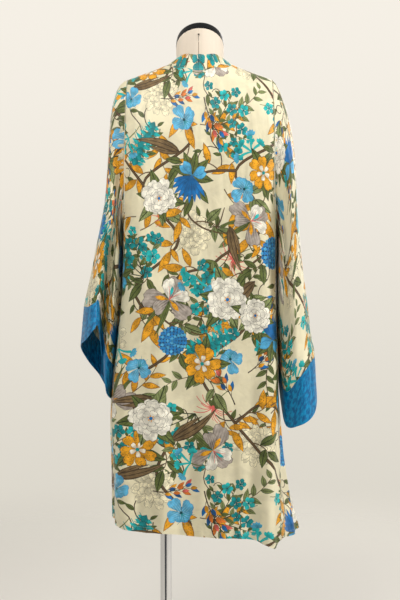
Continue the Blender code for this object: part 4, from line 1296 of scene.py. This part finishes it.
# Half widths of the hanging body: height, left back, left front, right back, right front
BODY_WIDTHS = (
    (1.250, 0.170, 0.170, 0.168, 0.168),
    (1.000, 0.171, 0.168, 0.168, 0.166),
    (0.920, 0.175, 0.170, 0.168, 0.168),
    (0.860, 0.180, 0.176, 0.170, 0.170),
    (0.800, 0.186, 0.182, 0.172, 0.174),
    (0.740, 0.192, 0.190, 0.173, 0.178),
    (0.660, 0.197, 0.197, 0.174, 0.184),
    (0.560, 0.192, 0.198, 0.174, 0.197),
    (0.450, 0.189, 0.197, 0.173, 0.225),
    (0.370, 0.189, 0.197, 0.172, 0.247),
)
# Soft upright folds of the body: place around from the middle of the back, width, depth, top, full depth at
BODY_FOLDS = (
    (-0.150, 0.016, 0.0070, 1.05, 0.55),
    (-0.118, 0.014, -0.0050, 0.98, 0.50),
    (-0.086, 0.016, 0.0060, 0.95, 0.45),
    (-0.040, 0.024, 0.0035, 0.90, 0.45),
    (0.030, 0.030, -0.0040, 1.00, 0.50),
    (0.085, 0.020, 0.0045, 0.95, 0.50),
    (0.140, 0.020, -0.0050, 1.00, 0.55),
    (-0.270, 0.020, 0.0060, 1.00, 0.50),
    (-0.330, 0.020, -0.0060, 1.05, 0.50),
    (0.270, 0.020, 0.0070, 1.00, 0.50),
    (0.325, 0.020, -0.0060, 1.05, 0.50),
)
# The body's outline is kept at these levels, and at these distances from the middle of the back
LEVEL_STEP = 0.005
DISTANCE_STEP = 0.001
LEVELS = np.arange(0.36, YOKE_Z + 0.0001, LEVEL_STEP)
DISTANCES = np.arange(0.0, 0.60, DISTANCE_STEP)
# Rows of points over the shoulder blades, and from there to the hem
YOKE_ROWS = 36
HANG_ROWS = 150


def half_section(z, side):
    """Half of the body's outline at one height, from the middle of the back round to the front edge."""
    widths = smooth_rows(BODY_WIDTHS, z)
    back_x, front_x = (widths[0], widths[1]) if side > 0 else (widths[2], widths[3])
    corners = np.array(((0.0, BACK_Y), (back_x, BACK_Y), (front_x, FRONT_Y), (FRONT_EDGE_X, FRONT_Y)))
    t = np.linspace(0.0, 1.0, CORNER_STEPS)[:, None]
    points = [corners[:1]]
    for k, radius in ((1, CORNER_BACK), (2, CORNER_FRONT)):
        here = corners[k]
        before, after = corners[k - 1] - here, corners[k + 1] - here
        start = here + before / np.linalg.norm(before) * radius
        end = here + after / np.linalg.norm(after) * radius
        points.append((1 - t) ** 2 * start + 2 * t * (1 - t) * here + t * t * end)
    points = np.concatenate((*points, corners[3:]))
    length = np.concatenate(([0.0], np.cumsum(np.linalg.norm(np.diff(points, axis=0), axis=1))))
    bent = slice(1, CORNER_STEPS + 1)
    side_seam = np.interp(-(BACK_Y - SEAM_BELOW_CORNER), -points[bent, 1], length[bent])
    return points, length, side_seam


def body_tables(side):
    """The outline with its folds at every level and distance, then each level's side seam and front edge."""
    outline, seams, edges = [], [], []
    for z in LEVELS:
        points, length, side_seam = half_section(z, side)
        line = np.stack([np.interp(DISTANCES, length, points[:, i]) for i in (0, 1)], 1)
        reach = np.minimum(DISTANCES, length[-1] - 0.002)
        ahead = np.stack([np.interp(reach + 0.002, length, points[:, i]) for i in (0, 1)], 1)
        before = np.stack([np.interp(reach - 0.002, length, points[:, i]) for i in (0, 1)], 1)
        step = ahead - before
        step /= np.linalg.norm(step, axis=1, keepdims=True)
        lift = np.zeros(len(DISTANCES))
        for place, width, depth, top, full in BODY_FOLDS:
            grow = min(max((top - z) / (top - full), 0.0), 1.0)
            lift += depth * grow * np.exp(-((side * DISTANCES - place) / width) ** 2)
        line += lift[:, None] * np.stack((-step[:, 1], step[:, 0]), 1)
        line[:, 0] = side * np.maximum(line[:, 0], 0.0)
        outline.append(line)
        seams.append(side_seam)
        edges.append(length[-1])
    return np.array(outline), np.array(seams), np.array(edges)


BODY = {side: body_tables(side) for side in (1, -1)}


def on_body(side, z, distance):
    """x and y on the body at heights and distances from the middle of the back."""
    table = BODY[side][0]
    row = np.clip((z - LEVELS[0]) / LEVEL_STEP, 0.0, len(LEVELS) - 1.001)
    column = np.clip(distance / DISTANCE_STEP, 0.0, len(DISTANCES) - 1.001)
    i, j = row.astype(int), column.astype(int)
    fi, fj = (row - i)[..., None], (column - j)[..., None]
    point = (table[i, j] * (1 - fi) * (1 - fj) + table[i + 1, j] * fi * (1 - fj)
             + table[i, j + 1] * (1 - fi) * fj + table[i + 1, j + 1] * fi * fj)
    return point[..., 0], point[..., 1]


def armhole(z):
    """How far the armhole is open at a height, from 0 at the underarm to 1 at the yoke."""
    share = np.clip((z - UNDERARM_Z) / (YOKE_Z - UNDERARM_Z), 0.0, 1.0)
    return np.sqrt(1 - (1 - share) ** 2)


def back_edge(z, side):
    """How far the back reaches round the body, to the side seam and the armhole."""
    return np.interp(z, LEVELS, BODY[side][1]) - ARMHOLE_BACK * armhole(z) - PIECE_GAP


def hem_height(x):
    """Height of the hem's edge at x."""
    return smooth_rows(HEM_LINE, x)[..., 0]


def panel_grid(side, shares, distance_at, ridge_x, start):
    """Points of a body piece: rows from the shoulder or the neck to the hem, a column for each share."""
    rows = []
    x0, y0 = on_body(side, np.full(shares.shape, YOKE_Z), distance_at(np.full(shares.shape, YOKE_Z)))
    top = shoulder_height(ridge_x)
    for part in np.linspace(0.0, 1.0, YOKE_ROWS + 1):
        angle = start + (math.pi / 2 - start) * part
        x = ridge_x + (x0 - ridge_x) * (1 - np.cos(angle))
        y = np.copysign(np.maximum(np.abs(y0) * np.sin(angle), PIECE_GAP * 2.5), y0)
        rows.append(np.stack((x, y, YOKE_Z + (top - YOKE_Z) * np.cos(angle)), 1))
    for g in np.linspace(0.0, 1.0, HANG_ROWS + 1)[1:]:
        z = np.full(shares.shape, YOKE_Z + (HEM_Z - YOKE_Z) * g)
        for _ in range(3):
            x, y = on_body(side, z, distance_at(z))
            z = YOKE_Z + (hem_height(x) - YOKE_Z) * g
        rows.append(np.stack((x, y, z), 1))
    return np.array(rows)


def lengths_down(grid, row, length):
    """Length down each column, counted so that one row has a given length."""
    steps = np.linalg.norm(np.diff(grid, axis=0), axis=2)
    down = np.concatenate((np.zeros((1, grid.shape[1])), np.cumsum(steps, axis=0)))
    return down - down[row] + length


def back_half(side, shares):
    """Half of the back, from its middle to the side seam."""
    edge = back_edge(np.array(YOKE_Z), side)
    ridge_x = side * (shares * edge - (edge - SHOULDER_END) * shares ** 2)
    depth = NECK_SEAM[1] * np.sqrt(np.clip(1 - (ridge_x / NECK_SEAM[0]) ** 2, 0.0, 1.0))
    start = np.arcsin(np.clip(depth / BACK_Y, 0.0, 1.0))
    return panel_grid(side, shares, lambda z: shares * back_edge(z, side), ridge_x, start)


columns = np.linspace(0.0, 1.0, BACK_COLUMNS)
back_grid = np.concatenate((back_half(-1, columns)[:, :0:-1], back_half(1, columns)), axis=1)
back_u = np.concatenate((-columns[:0:-1], columns)) * BACK_HALF_WIDTH
back_v = lengths_down(back_grid, YOKE_ROWS, YOKE_LENGTH)
back_grid = soft_creases(back_grid, seed=3)
back_piece = cut_cloth("back_panel", back_grid, back_u, back_v, (print_finish, wrong_side), BACK_CUT)
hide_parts("robe_back")
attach(back_piece, "root")
hem = [hem_line(back_grid, back_u, back_v, HEM_TURN)]
back_hem = sew("back_hem_stitches", hem, pale_thread)

# Fronts. Two pieces cut from the same cloth, one mirrored, reach from the shoulder seam to the hem and
# from the side seam to the band. They hang open over the form.
FRONT_COLUMNS = 76
FRONT_HIP_ROW = 110
ARMHOLE_FRONT = 0.100
# Places on the bolt from which the left and the right front are cut
FRONT_CUTS = ((0.05, 0.33), (0.40, 0.58))


def front_side_edge(z, side):
    """Where a front starts, at the side seam and the armhole."""
    return np.interp(z, LEVELS, BODY[side][1]) + ARMHOLE_FRONT * armhole(z) + PIECE_GAP


def front_inner_edge(z, side):
    """Where a front ends, at the band."""
    return np.interp(z, LEVELS, BODY[side][2]) - PIECE_GAP


def front_grid(side, shares):
    """Points of one front, from its side seam to the band."""
    def distance_at(z):
        outer = front_side_edge(z, side)
        return outer + (front_inner_edge(z, side) - outer) * shares
    ridge_x = side * (SHOULDER_END + (NECK_SEAM[0] - SHOULDER_END) * shares)
    return panel_grid(side, shares, distance_at, ridge_x, 0.0)


columns = np.linspace(0.0, 1.0, FRONT_COLUMNS)
for side, label, offset in ((1, "left", FRONT_CUTS[0]), (-1, "right", FRONT_CUTS[1])):
    grid = front_grid(side, columns)
    width = float(np.linalg.norm(np.diff(grid[FRONT_HIP_ROW], axis=0), axis=1).sum())
    flat_u, flat_v = columns * width, lengths_down(grid, YOKE_ROWS, YOKE_LENGTH)
    grid = soft_creases(grid, seed=20 + side)
    piece = cut_cloth(f"front_panel_{label}", grid, flat_u, flat_v, (print_finish, wrong_side), offset)
    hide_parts(f"robe_front_{label}")
    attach(piece, "root")
    hem = [hem_line(grid, flat_u, flat_v, HEM_TURN)]
    hem = sew(f"front_hem_stitches_{label}", hem, pale_thread)

# Neckband. One long narrow strip of the printed cloth, folded double, runs up one front edge, round the
# back of the neck and down the other front edge.
BAND_WIDTH = 0.017
BAND_STITCHES_IN = 0.0016
BAND_CUT = (-0.2165, 1.105)


def band_grid():
    """Points across and along the band, from the left hem round the neck to the right hem."""
    halves = []
    for side in (1, -1):
        edge = panel_grid(side, np.ones(1), lambda z: np.interp(z, LEVELS, BODY[side][2]),
                          np.full(1, side * NECK_SEAM[0]), 0.0)
        down = edge[YOKE_ROWS + 1:, 0]
        rows = [np.stack((point - (side * BAND_WIDTH, 0.0, 0.0), point)) for point in down[::-1]]
        for angle in np.linspace(math.pi / 2, 0.0, YOKE_ROWS + 1):
            far = side * NECK_SEAM[0]
            outer_x = far + (side * FRONT_EDGE_X - far) * (1 - math.cos(angle))
            x = np.array((outer_x - side * BAND_WIDTH, outer_x))
            z = YOKE_Z + (shoulder_height(x) - YOKE_Z) * math.cos(angle)
            rows.append(np.stack((x, np.full(2, FRONT_Y * math.sin(angle)), z), 1))
        for turn in np.linspace(math.pi / 2, 0.0, 31)[1:]:
            margin = np.array((BAND_WIDTH, 0.0))
            x = side * (NECK_SEAM[0] - margin) * math.sin(turn)
            y = (NECK_SEAM[1] - margin) * math.cos(turn)
            z = YOKE_Z + (shoulder_height(x) - YOKE_Z) * np.sqrt(1 - (y / BACK_Y) ** 2)
            rows.append(np.stack((x, y, z), 1))
        halves.append(rows)
    pairs = np.array(halves[0] + halves[1][-2::-1])
    inner, outer = pairs[:, :1], pairs[:, 1:]
    away = inner - outer
    outer = outer + away / np.linalg.norm(away, axis=2, keepdims=True) * PIECE_GAP * 2
    t = np.linspace(0.0, 1.0, 4)[None, :, None]
    return inner * (1 - t) + outer * t


grid = band_grid()
middle = np.linalg.norm(np.diff(grid.mean(axis=1), axis=0), axis=1)
along = np.concatenate(([0.0], np.cumsum(middle)))
band_v = np.repeat(along[:, None], grid.shape[1], axis=1)
band_u = np.linspace(0.0, BAND_WIDTH, grid.shape[1])
band_piece = cut_cloth("neckband_strip", grid, band_u, band_v, (print_finish, wrong_side), BAND_CUT)
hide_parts("neckband")
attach(band_piece, "root")
steps = np.linspace(0.004, along[-1] - 0.004, 900)
edges = [line_on(grid, band_u, band_v, np.stack((np.full_like(steps, place), steps), 1))
         for place in (BAND_STITCHES_IN, BAND_WIDTH - BAND_STITCHES_IN)]
band_stitches = sew("neckband_stitches", edges, pale_thread)

# Sleeves. Each is one wide piece closed under the arm and sewn into the armhole. With no arm in it, it
# hangs down beside the body in deep upright folds. A blue satin cuff, turned double, closes it.
# Sizes at each station from the armhole to the cuff's edge: outer fold x and z, underarm x and z, reach back
# and forward, rise of the back over the front, depth of the fold beside the body and how far it stands out
SLEEVE_LEFT = (
    (0.1630, 1.4060, 0.1740, 1.0950, 0.060, 0.055, 0.000, 0.000, 0.000),
    (0.1930, 1.3900, 0.1755, 1.0700, 0.075, 0.075, 0.000, 0.000, 0.000),
    (0.1975, 1.3500, 0.1760, 1.0480, 0.088, 0.090, 0.000, 0.003, 0.001),
    (0.2035, 1.2700, 0.1765, 1.0200, 0.100, 0.105, 0.000, 0.011, 0.003),
    (0.2080, 1.2000, 0.1770, 0.9900, 0.108, 0.112, 0.004, 0.018, 0.006),
    (0.2150, 1.1300, 0.1780, 0.9600, 0.112, 0.115, 0.012, 0.026, 0.010),
    (0.2320, 1.0400, 0.1805, 0.9050, 0.114, 0.115, 0.025, 0.033, 0.012),
    (0.2485, 0.9500, 0.1860, 0.8400, 0.112, 0.112, 0.042, 0.036, 0.010),
    (0.2620, 0.8930, 0.1920, 0.7750, 0.108, 0.108, 0.056, 0.038, 0.006),
    (0.2700, 0.8060, 0.1990, 0.7000, 0.104, 0.104, 0.046, 0.038, 0.004),
)
SLEEVE_RIGHT = (
    (0.1630, 1.4060, 0.1720, 1.0950, 0.060, 0.055, 0.000, 0.000, 0.000),
    (0.1800, 1.3870, 0.1735, 1.0700, 0.075, 0.075, 0.000, 0.000, 0.000),
    (0.1915, 1.3480, 0.1740, 1.0480, 0.088, 0.090, 0.000, 0.003, 0.001),
    (0.2050, 1.2900, 0.1745, 1.0200, 0.100, 0.105, -0.004, 0.009, 0.003),
    (0.2140, 1.2200, 0.1745, 0.9900, 0.110, 0.112, -0.010, 0.014, 0.005),
    (0.2190, 1.1400, 0.1745, 0.9550, 0.116, 0.114, -0.024, 0.019, 0.006),
    (0.2300, 1.0400, 0.1745, 0.9150, 0.120, 0.114, -0.050, 0.022, 0.006),
    (0.2430, 0.9400, 0.1750, 0.8800, 0.122, 0.112, -0.080, 0.020, 0.003),
    (0.2500, 0.8600, 0.1755, 0.8550, 0.122, 0.110, -0.100, 0.016, 0.000),
    (0.2590, 0.7980, 0.1780, 0.8300, 0.120, 0.108, -0.112, 0.012, 0.000),
    (0.2635, 0.7120, 0.1800, 0.7550, 0.116, 0.104, -0.086, 0.010, 0.000),
)
# Rings of the cuff's seam and of its edge: turn in degrees, x, y and z of the seam, x, y and z of the edge
MOUTH_LEFT = (
    (0, 0.2620, 0.000, 0.8930, 0.2700, 0.000, 0.8060),
    (55, 0.2440, 0.085, 0.9040, 0.2480, 0.102, 0.8350),
    (92, 0.2290, 0.092, 0.9130, 0.2290, 0.113, 0.8560),
    (112, 0.2215, 0.080, 0.9140, 0.2215, 0.094, 0.8600),
    (128, 0.2175, 0.046, 0.8550, 0.2175, 0.050, 0.7900),
    (146, 0.2075, 0.072, 0.8000, 0.2100, 0.074, 0.7220),
    (163, 0.1960, 0.052, 0.7740, 0.2015, 0.050, 0.6980),
    (180, 0.1930, 0.000, 0.7720, 0.1990, 0.000, 0.6960),
    (222, 0.2030, -0.065, 0.7780, 0.2080, -0.062, 0.6940),
    (270, 0.2300, -0.100, 0.8060, 0.2350, -0.096, 0.7320),
    (320, 0.2520, -0.062, 0.8450, 0.2590, -0.060, 0.7700),
)
MOUTH_RIGHT = (
    (0, 0.2590, 0.000, 0.7980, 0.2635, 0.000, 0.7120),
    (50, 0.2440, 0.072, 0.7800, 0.2520, 0.070, 0.6640),
    (90, 0.2150, 0.092, 0.7450, 0.2200, 0.090, 0.6430),
    (122, 0.1890, 0.066, 0.7150, 0.1900, 0.064, 0.6400),
    (148, 0.1800, 0.030, 0.7600, 0.1820, 0.030, 0.6920),
    (180, 0.1780, -0.015, 0.8500, 0.1800, -0.015, 0.7650),
    (225, 0.1880, -0.070, 0.9250, 0.1900, -0.068, 0.8400),
    (270, 0.2220, -0.098, 0.8950, 0.2260, -0.094, 0.8080),
    (320, 0.2480, -0.058, 0.8450, 0.2520, -0.056, 0.7580),
)
# Stations at which the mouth's shape starts and the armhole's shape ends
MOUTH_FROM = 3.0
SLEEVE_HEAD = 2.5
ARMHOLE_GAP = 0.0020
CUFF_SEAM_STATIONS = 0.0025
SLEEVE_ROWS = 110
CUFF_ROWS = 16
SLEEVE_COLUMNS = 180
SLEEVE_LENGTH = 0.62
UNDERARM_SEAM = math.radians(0.06)
# First row that counts for the width of the cut, and rows in which the lean on the body sets in
GIRTH_ROW = 40
LEAN_ROWS = 50
SLEEVE_FOLD_ANGLE = math.radians(118)
SLEEVE_FOLD_SPREAD = math.radians(20)
SLEEVE_LOBE_ANGLE = math.radians(151)
SLEEVE_LOBE_SPREAD = math.radians(15)
SLEEVE_LOBE_SHARE = 0.85
SLEEVE_OUT_SPREAD = math.radians(34)
SLEEVE_LEAN = 0.0030
# Finer folds round the sleeve: angle and spread in degrees, depth, first station
SLEEVE_PLEATS = (
    (30, 9, -0.0035, 1.5),
    (52, 8, 0.0045, 2.0),
    (76, 8, -0.0040, 2.0),
    (150, 9, 0.0040, 1.5),
    (214, 10, 0.0050, 1.5),
    (240, 9, -0.0045, 2.0),
    (272, 10, 0.0060, 2.0),
    (300, 9, -0.0045, 2.0),
    (328, 10, 0.0040, 1.5),
)
# Places on the bolt from which the left and the right sleeve are cut
SLEEVE_CUTS = ((0.31, 0.02), (0.12, 0.47))


def armhole_points(side, angles):
    """Points of the armhole seam: no turn is the shoulder, a quarter the back, half a turn the underarm."""
    top = float(shoulder_height(np.array(SHOULDER_END)))
    z = top + (UNDERARM_Z - top) * (1 - np.cos(angles)) / 2
    points = []
    for angle, height in zip(angles, z):
        edge = back_edge if angle < math.pi else front_side_edge
        level = np.array(min(height, YOKE_Z))
        x, y = on_body(side, level, edge(level, side))
        if height > YOKE_Z:
            turn = math.acos((height - YOKE_Z) / (top - YOKE_Z))
            ridge_x = side * SHOULDER_END
            x = ridge_x + (x - ridge_x) * (1 - math.cos(turn))
            y = math.copysign(max(abs(y) * math.sin(turn), PIECE_GAP * 2.5), y)
        points.append((x + side * ARMHOLE_GAP, y, height))
    return np.array(points)


def mouth_blend(ring, station, turns, mouth, numbered):
    """Turns the upper sleeve's ring into the shape of the cuff's seam and of its edge."""
    seam = numbered[-2]
    wrapped = [(row[0] + lap, *row[1:]) for lap in (-360, 0, 360) for row in mouth]
    both = smooth_rows(wrapped, np.degrees(turns))
    at_seam, at_edge = both[:, :3], both[:, 3:]
    if station >= seam[0]:
        share = station - seam[0]
        return at_seam * (1 - share) + at_edge * share
    out_x, out_z, in_x, in_z = smooth_rows(numbered, station)[:4]
    shape = at_seam.copy()
    shape[:, 0] = in_x + (at_seam[:, 0] - seam[3]) / (seam[1] - seam[3]) * (out_x - in_x)
    shape[:, 2] += (out_z + in_z) / 2 - (seam[2] + seam[4]) / 2
    share = min(max((station - MOUTH_FROM) / (seam[0] - MOUTH_FROM), 0.0), 1.0)
    share = share * share * (3 - 2 * share)
    return ring * (1 - share) + shape * share


def sleeve_grid(side, rows, mouth, stations, angles):
    """Points of a hanging sleeve, one row for each station and one column for each angle."""
    numbered = [(k, *row) for k, row in enumerate(rows)]
    turns = np.mod(angles, math.tau)
    head = armhole_points(side, turns)
    inward = (1 - np.cos(turns)) / 2
    across = np.sin(turns)
    grid = []
    for station in stations:
        out_x, out_z, in_x, in_z, back, front, rise, fold, fold_out = smooth_rows(numbered, station)
        x = out_x + (in_x - out_x) * inward
        x = x + fold_out * np.exp(-((turns - SLEEVE_FOLD_ANGLE) / SLEEVE_OUT_SPREAD) ** 2)
        z = out_z + (in_z - out_z) * inward + rise * across
        y = np.where(across > 0, back, front) * across
        y = y - fold * np.exp(-((turns - SLEEVE_FOLD_ANGLE) / SLEEVE_FOLD_SPREAD) ** 2)
        y = y + fold * SLEEVE_LOBE_SHARE * np.exp(-((turns - SLEEVE_LOBE_ANGLE) / SLEEVE_LOBE_SPREAD) ** 2)
        for place, spread, depth, first in SLEEVE_PLEATS:
            grow = min(max((station - first) / 3.0, 0.0), 1.0)
            bulge = depth * grow * np.exp(-((turns - math.radians(place)) / math.radians(spread)) ** 2)
            y = y + bulge * np.sign(across) * np.abs(across) ** 0.5
            x = x + bulge * np.cos(turns)
        ring = mouth_blend(np.stack((x, y, z), 1), station, turns, mouth, numbered)
        ring[:, 0] *= side
        if station < SLEEVE_HEAD:
            share = station / SLEEVE_HEAD
            share = share * share * (3 - 2 * share)
            ring = (1 - share) * head + share * ring
        grid.append(ring)
    return np.array(grid)


def shade_of_cuffs():
    """Bright blue satin of the cuffs, printed with a dense mottle of light and dark blue."""
    finish, tree, shader = new_finish("blue_cuff_satin", 0.44)
    shader.inputs["Specular IOR Level"].default_value = 0.25
    cloth = put(tree, "ShaderNodeUVMap", uv_map="cloth").outputs[0]
    cells = put(tree, "ShaderNodeTexVoronoi", {"Vector": cloth, "Scale": 210.0, "Randomness": 1.0})
    cells = between(tree, cells.outputs["Distance"], 0.05, 0.26, 0.75, 0.0)
    cloud = between(tree, noise(tree, cloth, 90.0, 5.0), 0.38, 0.62)
    tone = blend_colours(tree, cloud, (0.000, 0.100, 0.280, 1.0), (0.000, 0.250, 0.530, 1.0))
    tone = blend_colours(tree, cells, tone, (0.010, 0.390, 0.640, 1.0))
    tree.links.new(tone, shader.inputs["Base Color"])
    add_cloth_relief(tree, shader, cloth)
    return finish


cuff_finish = shade_of_cuffs()
blue_thread = shade_of_thread("blue_thread", (0.02, 0.20, 0.48))
angles = np.linspace(math.pi + UNDERARM_SEAM, 3 * math.pi - UNDERARM_SEAM, SLEEVE_COLUMNS)
for side, label, rows, mouth, offset in ((1, "left", SLEEVE_LEFT, MOUTH_LEFT, SLEEVE_CUTS[0]),
                                         (-1, "right", SLEEVE_RIGHT, MOUTH_RIGHT, SLEEVE_CUTS[1])):
    seam = len(rows) - 2
    upper = np.linspace(0.0, seam - CUFF_SEAM_STATIONS, SLEEVE_ROWS)
    lower = np.linspace(seam + CUFF_SEAM_STATIONS, seam + 1.0, CUFF_ROWS)
    whole = sleeve_grid(side, rows, mouth, [*upper, *lower], angles)
    # The side next to the body leans on it
    beside = np.exp(-((np.mod(angles, math.tau) - math.pi) / 0.7) ** 2)[None, :]
    downwards = np.clip(np.arange(len(whole)) / LEAN_ROWS, 0.0, 1.0)[:, None]
    whole[..., 0] -= side * SLEEVE_LEAN * beside * downwards
    centre = whole.mean(axis=1, keepdims=True)
    around = np.linalg.norm(np.diff(whole[GIRTH_ROW:], axis=1), axis=2).mean(axis=0)
    sleeve_u = np.concatenate(([0.0], np.cumsum(around)))
    body, end = whole[:SLEEVE_ROWS], whole[SLEEVE_ROWS:]
    body_middle, end_middle = centre[:SLEEVE_ROWS], centre[SLEEVE_ROWS:]
    body_v, end_v = lengths_down(body, SLEEVE_ROWS - 1, SLEEVE_LENGTH), lengths_down(end, 0, 0.0)
    piece = cut_cloth(f"sleeve_piece_{label}", body, sleeve_u, body_v, (print_finish, wrong_side), offset,
                      body_middle)
    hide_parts(f"sleeve_{label}")
    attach(piece, "root")
    piece = cut_cloth(f"cuff_strip_{label}", end, sleeve_u, end_v, (cuff_finish,), None, end_middle)
    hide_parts(f"cuff_{label}")
    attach(piece, "root")
    heights = (0.010, float(end_v[-1].min()) - 0.004)
    lines = [hem_line(end, sleeve_u, end_v, above, end_middle) for above in heights]
    seam = sew(f"cuff_stitches_{label}", lines, blue_thread)

# Studio. A plain pale floor fades into a warm background that glows by itself, with painted shade that
# darkens it towards the floor. Soft lamps stand overhead, at both sides and in front of the robe, the
# strongest at its right.
FLOOR_REACH = 3.2


def shade_of_floor():
    """Matt pale floor whose outer part lets the background through."""
    finish, tree, shader = new_finish("pale_floor", 0.9)
    shader.inputs["Base Color"].default_value = (0.80, 0.775, 0.73, 1.0)
    place = put(tree, "ShaderNodeTexCoord").outputs["Object"]
    reach = put(tree, "ShaderNodeVectorMath", {0: place}, operation="LENGTH").outputs["Value"]
    clear = put(tree, "ShaderNodeBsdfTransparent").outputs[0]
    share = between(tree, reach, 0.7, FLOOR_REACH * 0.8)
    both = put(tree, "ShaderNodeMixShader", {0: share, 1: shader.outputs[0], 2: clear}).outputs[0]
    tree.links.new(both, tree.nodes["Material Output"].inputs["Surface"])
    return finish


floor_mesh = bpy.data.meshes.new("floor")
turns = [math.tau * k / 96 for k in range(96)]
floor_mesh.from_pydata([(FLOOR_REACH * math.cos(a), FLOOR_REACH * math.sin(a), -0.0005) for a in turns], [],
                       [tuple(range(96))])
floor_mesh.materials.append(shade_of_floor())
floor = put_in_scene("floor", floor_mesh)


def add_lamp(name, place, target, size, power, colour):
    """Round soft lamp that looks at a target."""
    data = bpy.data.lights.new(name, "AREA")
    data.shape = "DISK"
    data.size = size
    data.energy = power
    data.color = colour
    lamp = put_in_scene(name, data)
    lamp.location = place
    lamp.rotation_euler = (Vector(target) - Vector(place)).to_track_quat("-Z", "Y").to_euler()


def shade_of_backdrop():
    """Warm paper that glows by itself, with painted shade that makes it a little darker towards the floor."""
    finish, tree, shader = new_finish("paper_backdrop", 1.0)
    shader.inputs["Base Color"].default_value = (0.0, 0.0, 0.0, 1.0)
    shader.inputs["Specular IOR Level"].default_value = 0.0
    shader.inputs["Emission Strength"].default_value = 1.0
    place = put(tree, "ShaderNodeTexCoord").outputs["Object"]
    height = put(tree, "ShaderNodeSeparateXYZ", {0: place}).outputs[2]
    height = between(tree, height, -2.2, 3.4)
    # Painted shade: the glow dims from a warm light tone at the top to a darker one towards the floor
    tone = blend_colours(tree, height, (0.70, 0.665, 0.585, 1.0), (0.92, 0.872, 0.79, 1.0))
    tree.links.new(tone, shader.inputs["Emission Color"])
    return finish


backdrop_profile = ((0.4, -7.0), (4.6, -5.6), (7.4, -2.0), (8.0, 1.0), (7.4, 4.0), (4.6, 7.6), (0.4, 9.0))
backdrop = piece_from("backdrop", lathe(backdrop_profile, 48), shade_of_backdrop(), 180)
backdrop.visible_diffuse = False
backdrop.visible_shadow = False
# Lamps: name, place, target, width, power in watts, colour
LAMPS = (
    ("overhead", (0.5, 1.3, 2.5), (0.0, 0.0, 1.2), 0.8, 24.0, (1.0, 0.965, 0.90)),
    ("left_side", (3.0, -0.2, 1.7), (0.0, 0.0, 1.0), 1.2, 10.0, (1.0, 0.98, 0.94)),
    ("right_side", (-2.4, 0.8, 2.0), (0.0, 0.0, 0.8), 0.6, 52.0, (1.0, 0.98, 0.94)),
    ("front_fill", (-0.9, -2.8, 1.7), (0.0, 0.0, 0.9), 1.6, 34.0, (1.0, 0.975, 0.94)),
)
for lamp in LAMPS:
    add_lamp(*lamp)


def shade_of_reflected_dark_sheet():
    """Dark sheet with a short pile, which the chrome shows as a painted dark reflection."""
    finish, tree, shader = new_finish("reflected_dark_sheet", 0.9)
    place = put(tree, "ShaderNodeTexCoord").outputs["Object"]
    pile = noise(tree, place, 120.0, 3.0)
    tone = blend_colours(tree, pile, (0.012, 0.014, 0.020, 1.0), (0.03, 0.033, 0.042, 1.0))
    tree.links.new(tone, shader.inputs["Base Color"])
    return finish


# A dark sheet with a short pile lies on the floor between the stand and the camera. The camera doesn't see it
# and it casts no shadow or bounce light: it shows only in the chrome, as a painted dark reflection in place
# of dark surroundings.
reflected_sheet_mesh = bpy.data.meshes.new("reflected_dark_sheet")
reflected_sheet_mesh.from_pydata([(POLE_X + 0.05, 0.25, 0.0004), (POLE_X + 2.6, 5.2, 0.0004), (POLE_X - 1.5, 5.2, 0.0004),
                      (POLE_X - 0.02, 0.25, 0.0004)], [], [(0, 1, 2, 3)])
reflected_sheet_mesh.materials.append(shade_of_reflected_dark_sheet())
reflected_sheet = put_in_scene("reflected_dark_sheet", reflected_sheet_mesh)
reflected_sheet.visible_camera = False
reflected_sheet.visible_diffuse = False
reflected_sheet.visible_shadow = False
world = bpy.data.worlds.new("studio")
world.use_nodes = True
background = world.node_tree.nodes["Background"]
background.inputs[0].default_value = (0.86, 0.83, 0.77, 1.0)
background.inputs[1].default_value = 0.28
bpy.context.scene.world = world
bpy.context.scene.view_settings.view_transform = "Standard"

# Camera. It looks at the robe's back from the height of the waist, straight on and turned a little
# down, and takes in the whole garment with a short stretch of the pole under it.
CAMERA_PLACE = (0.0, 2.705, 1.05)
CAMERA_DOWN = math.radians(2.87)
camera_data = bpy.data.cameras.new("camera")
camera_data.lens = 71.9
camera = put_in_scene("camera", camera_data)
camera.location = CAMERA_PLACE
camera.rotation_euler = (math.pi / 2 - CAMERA_DOWN, 0.0, math.pi)
bpy.context.scene.camera = camera
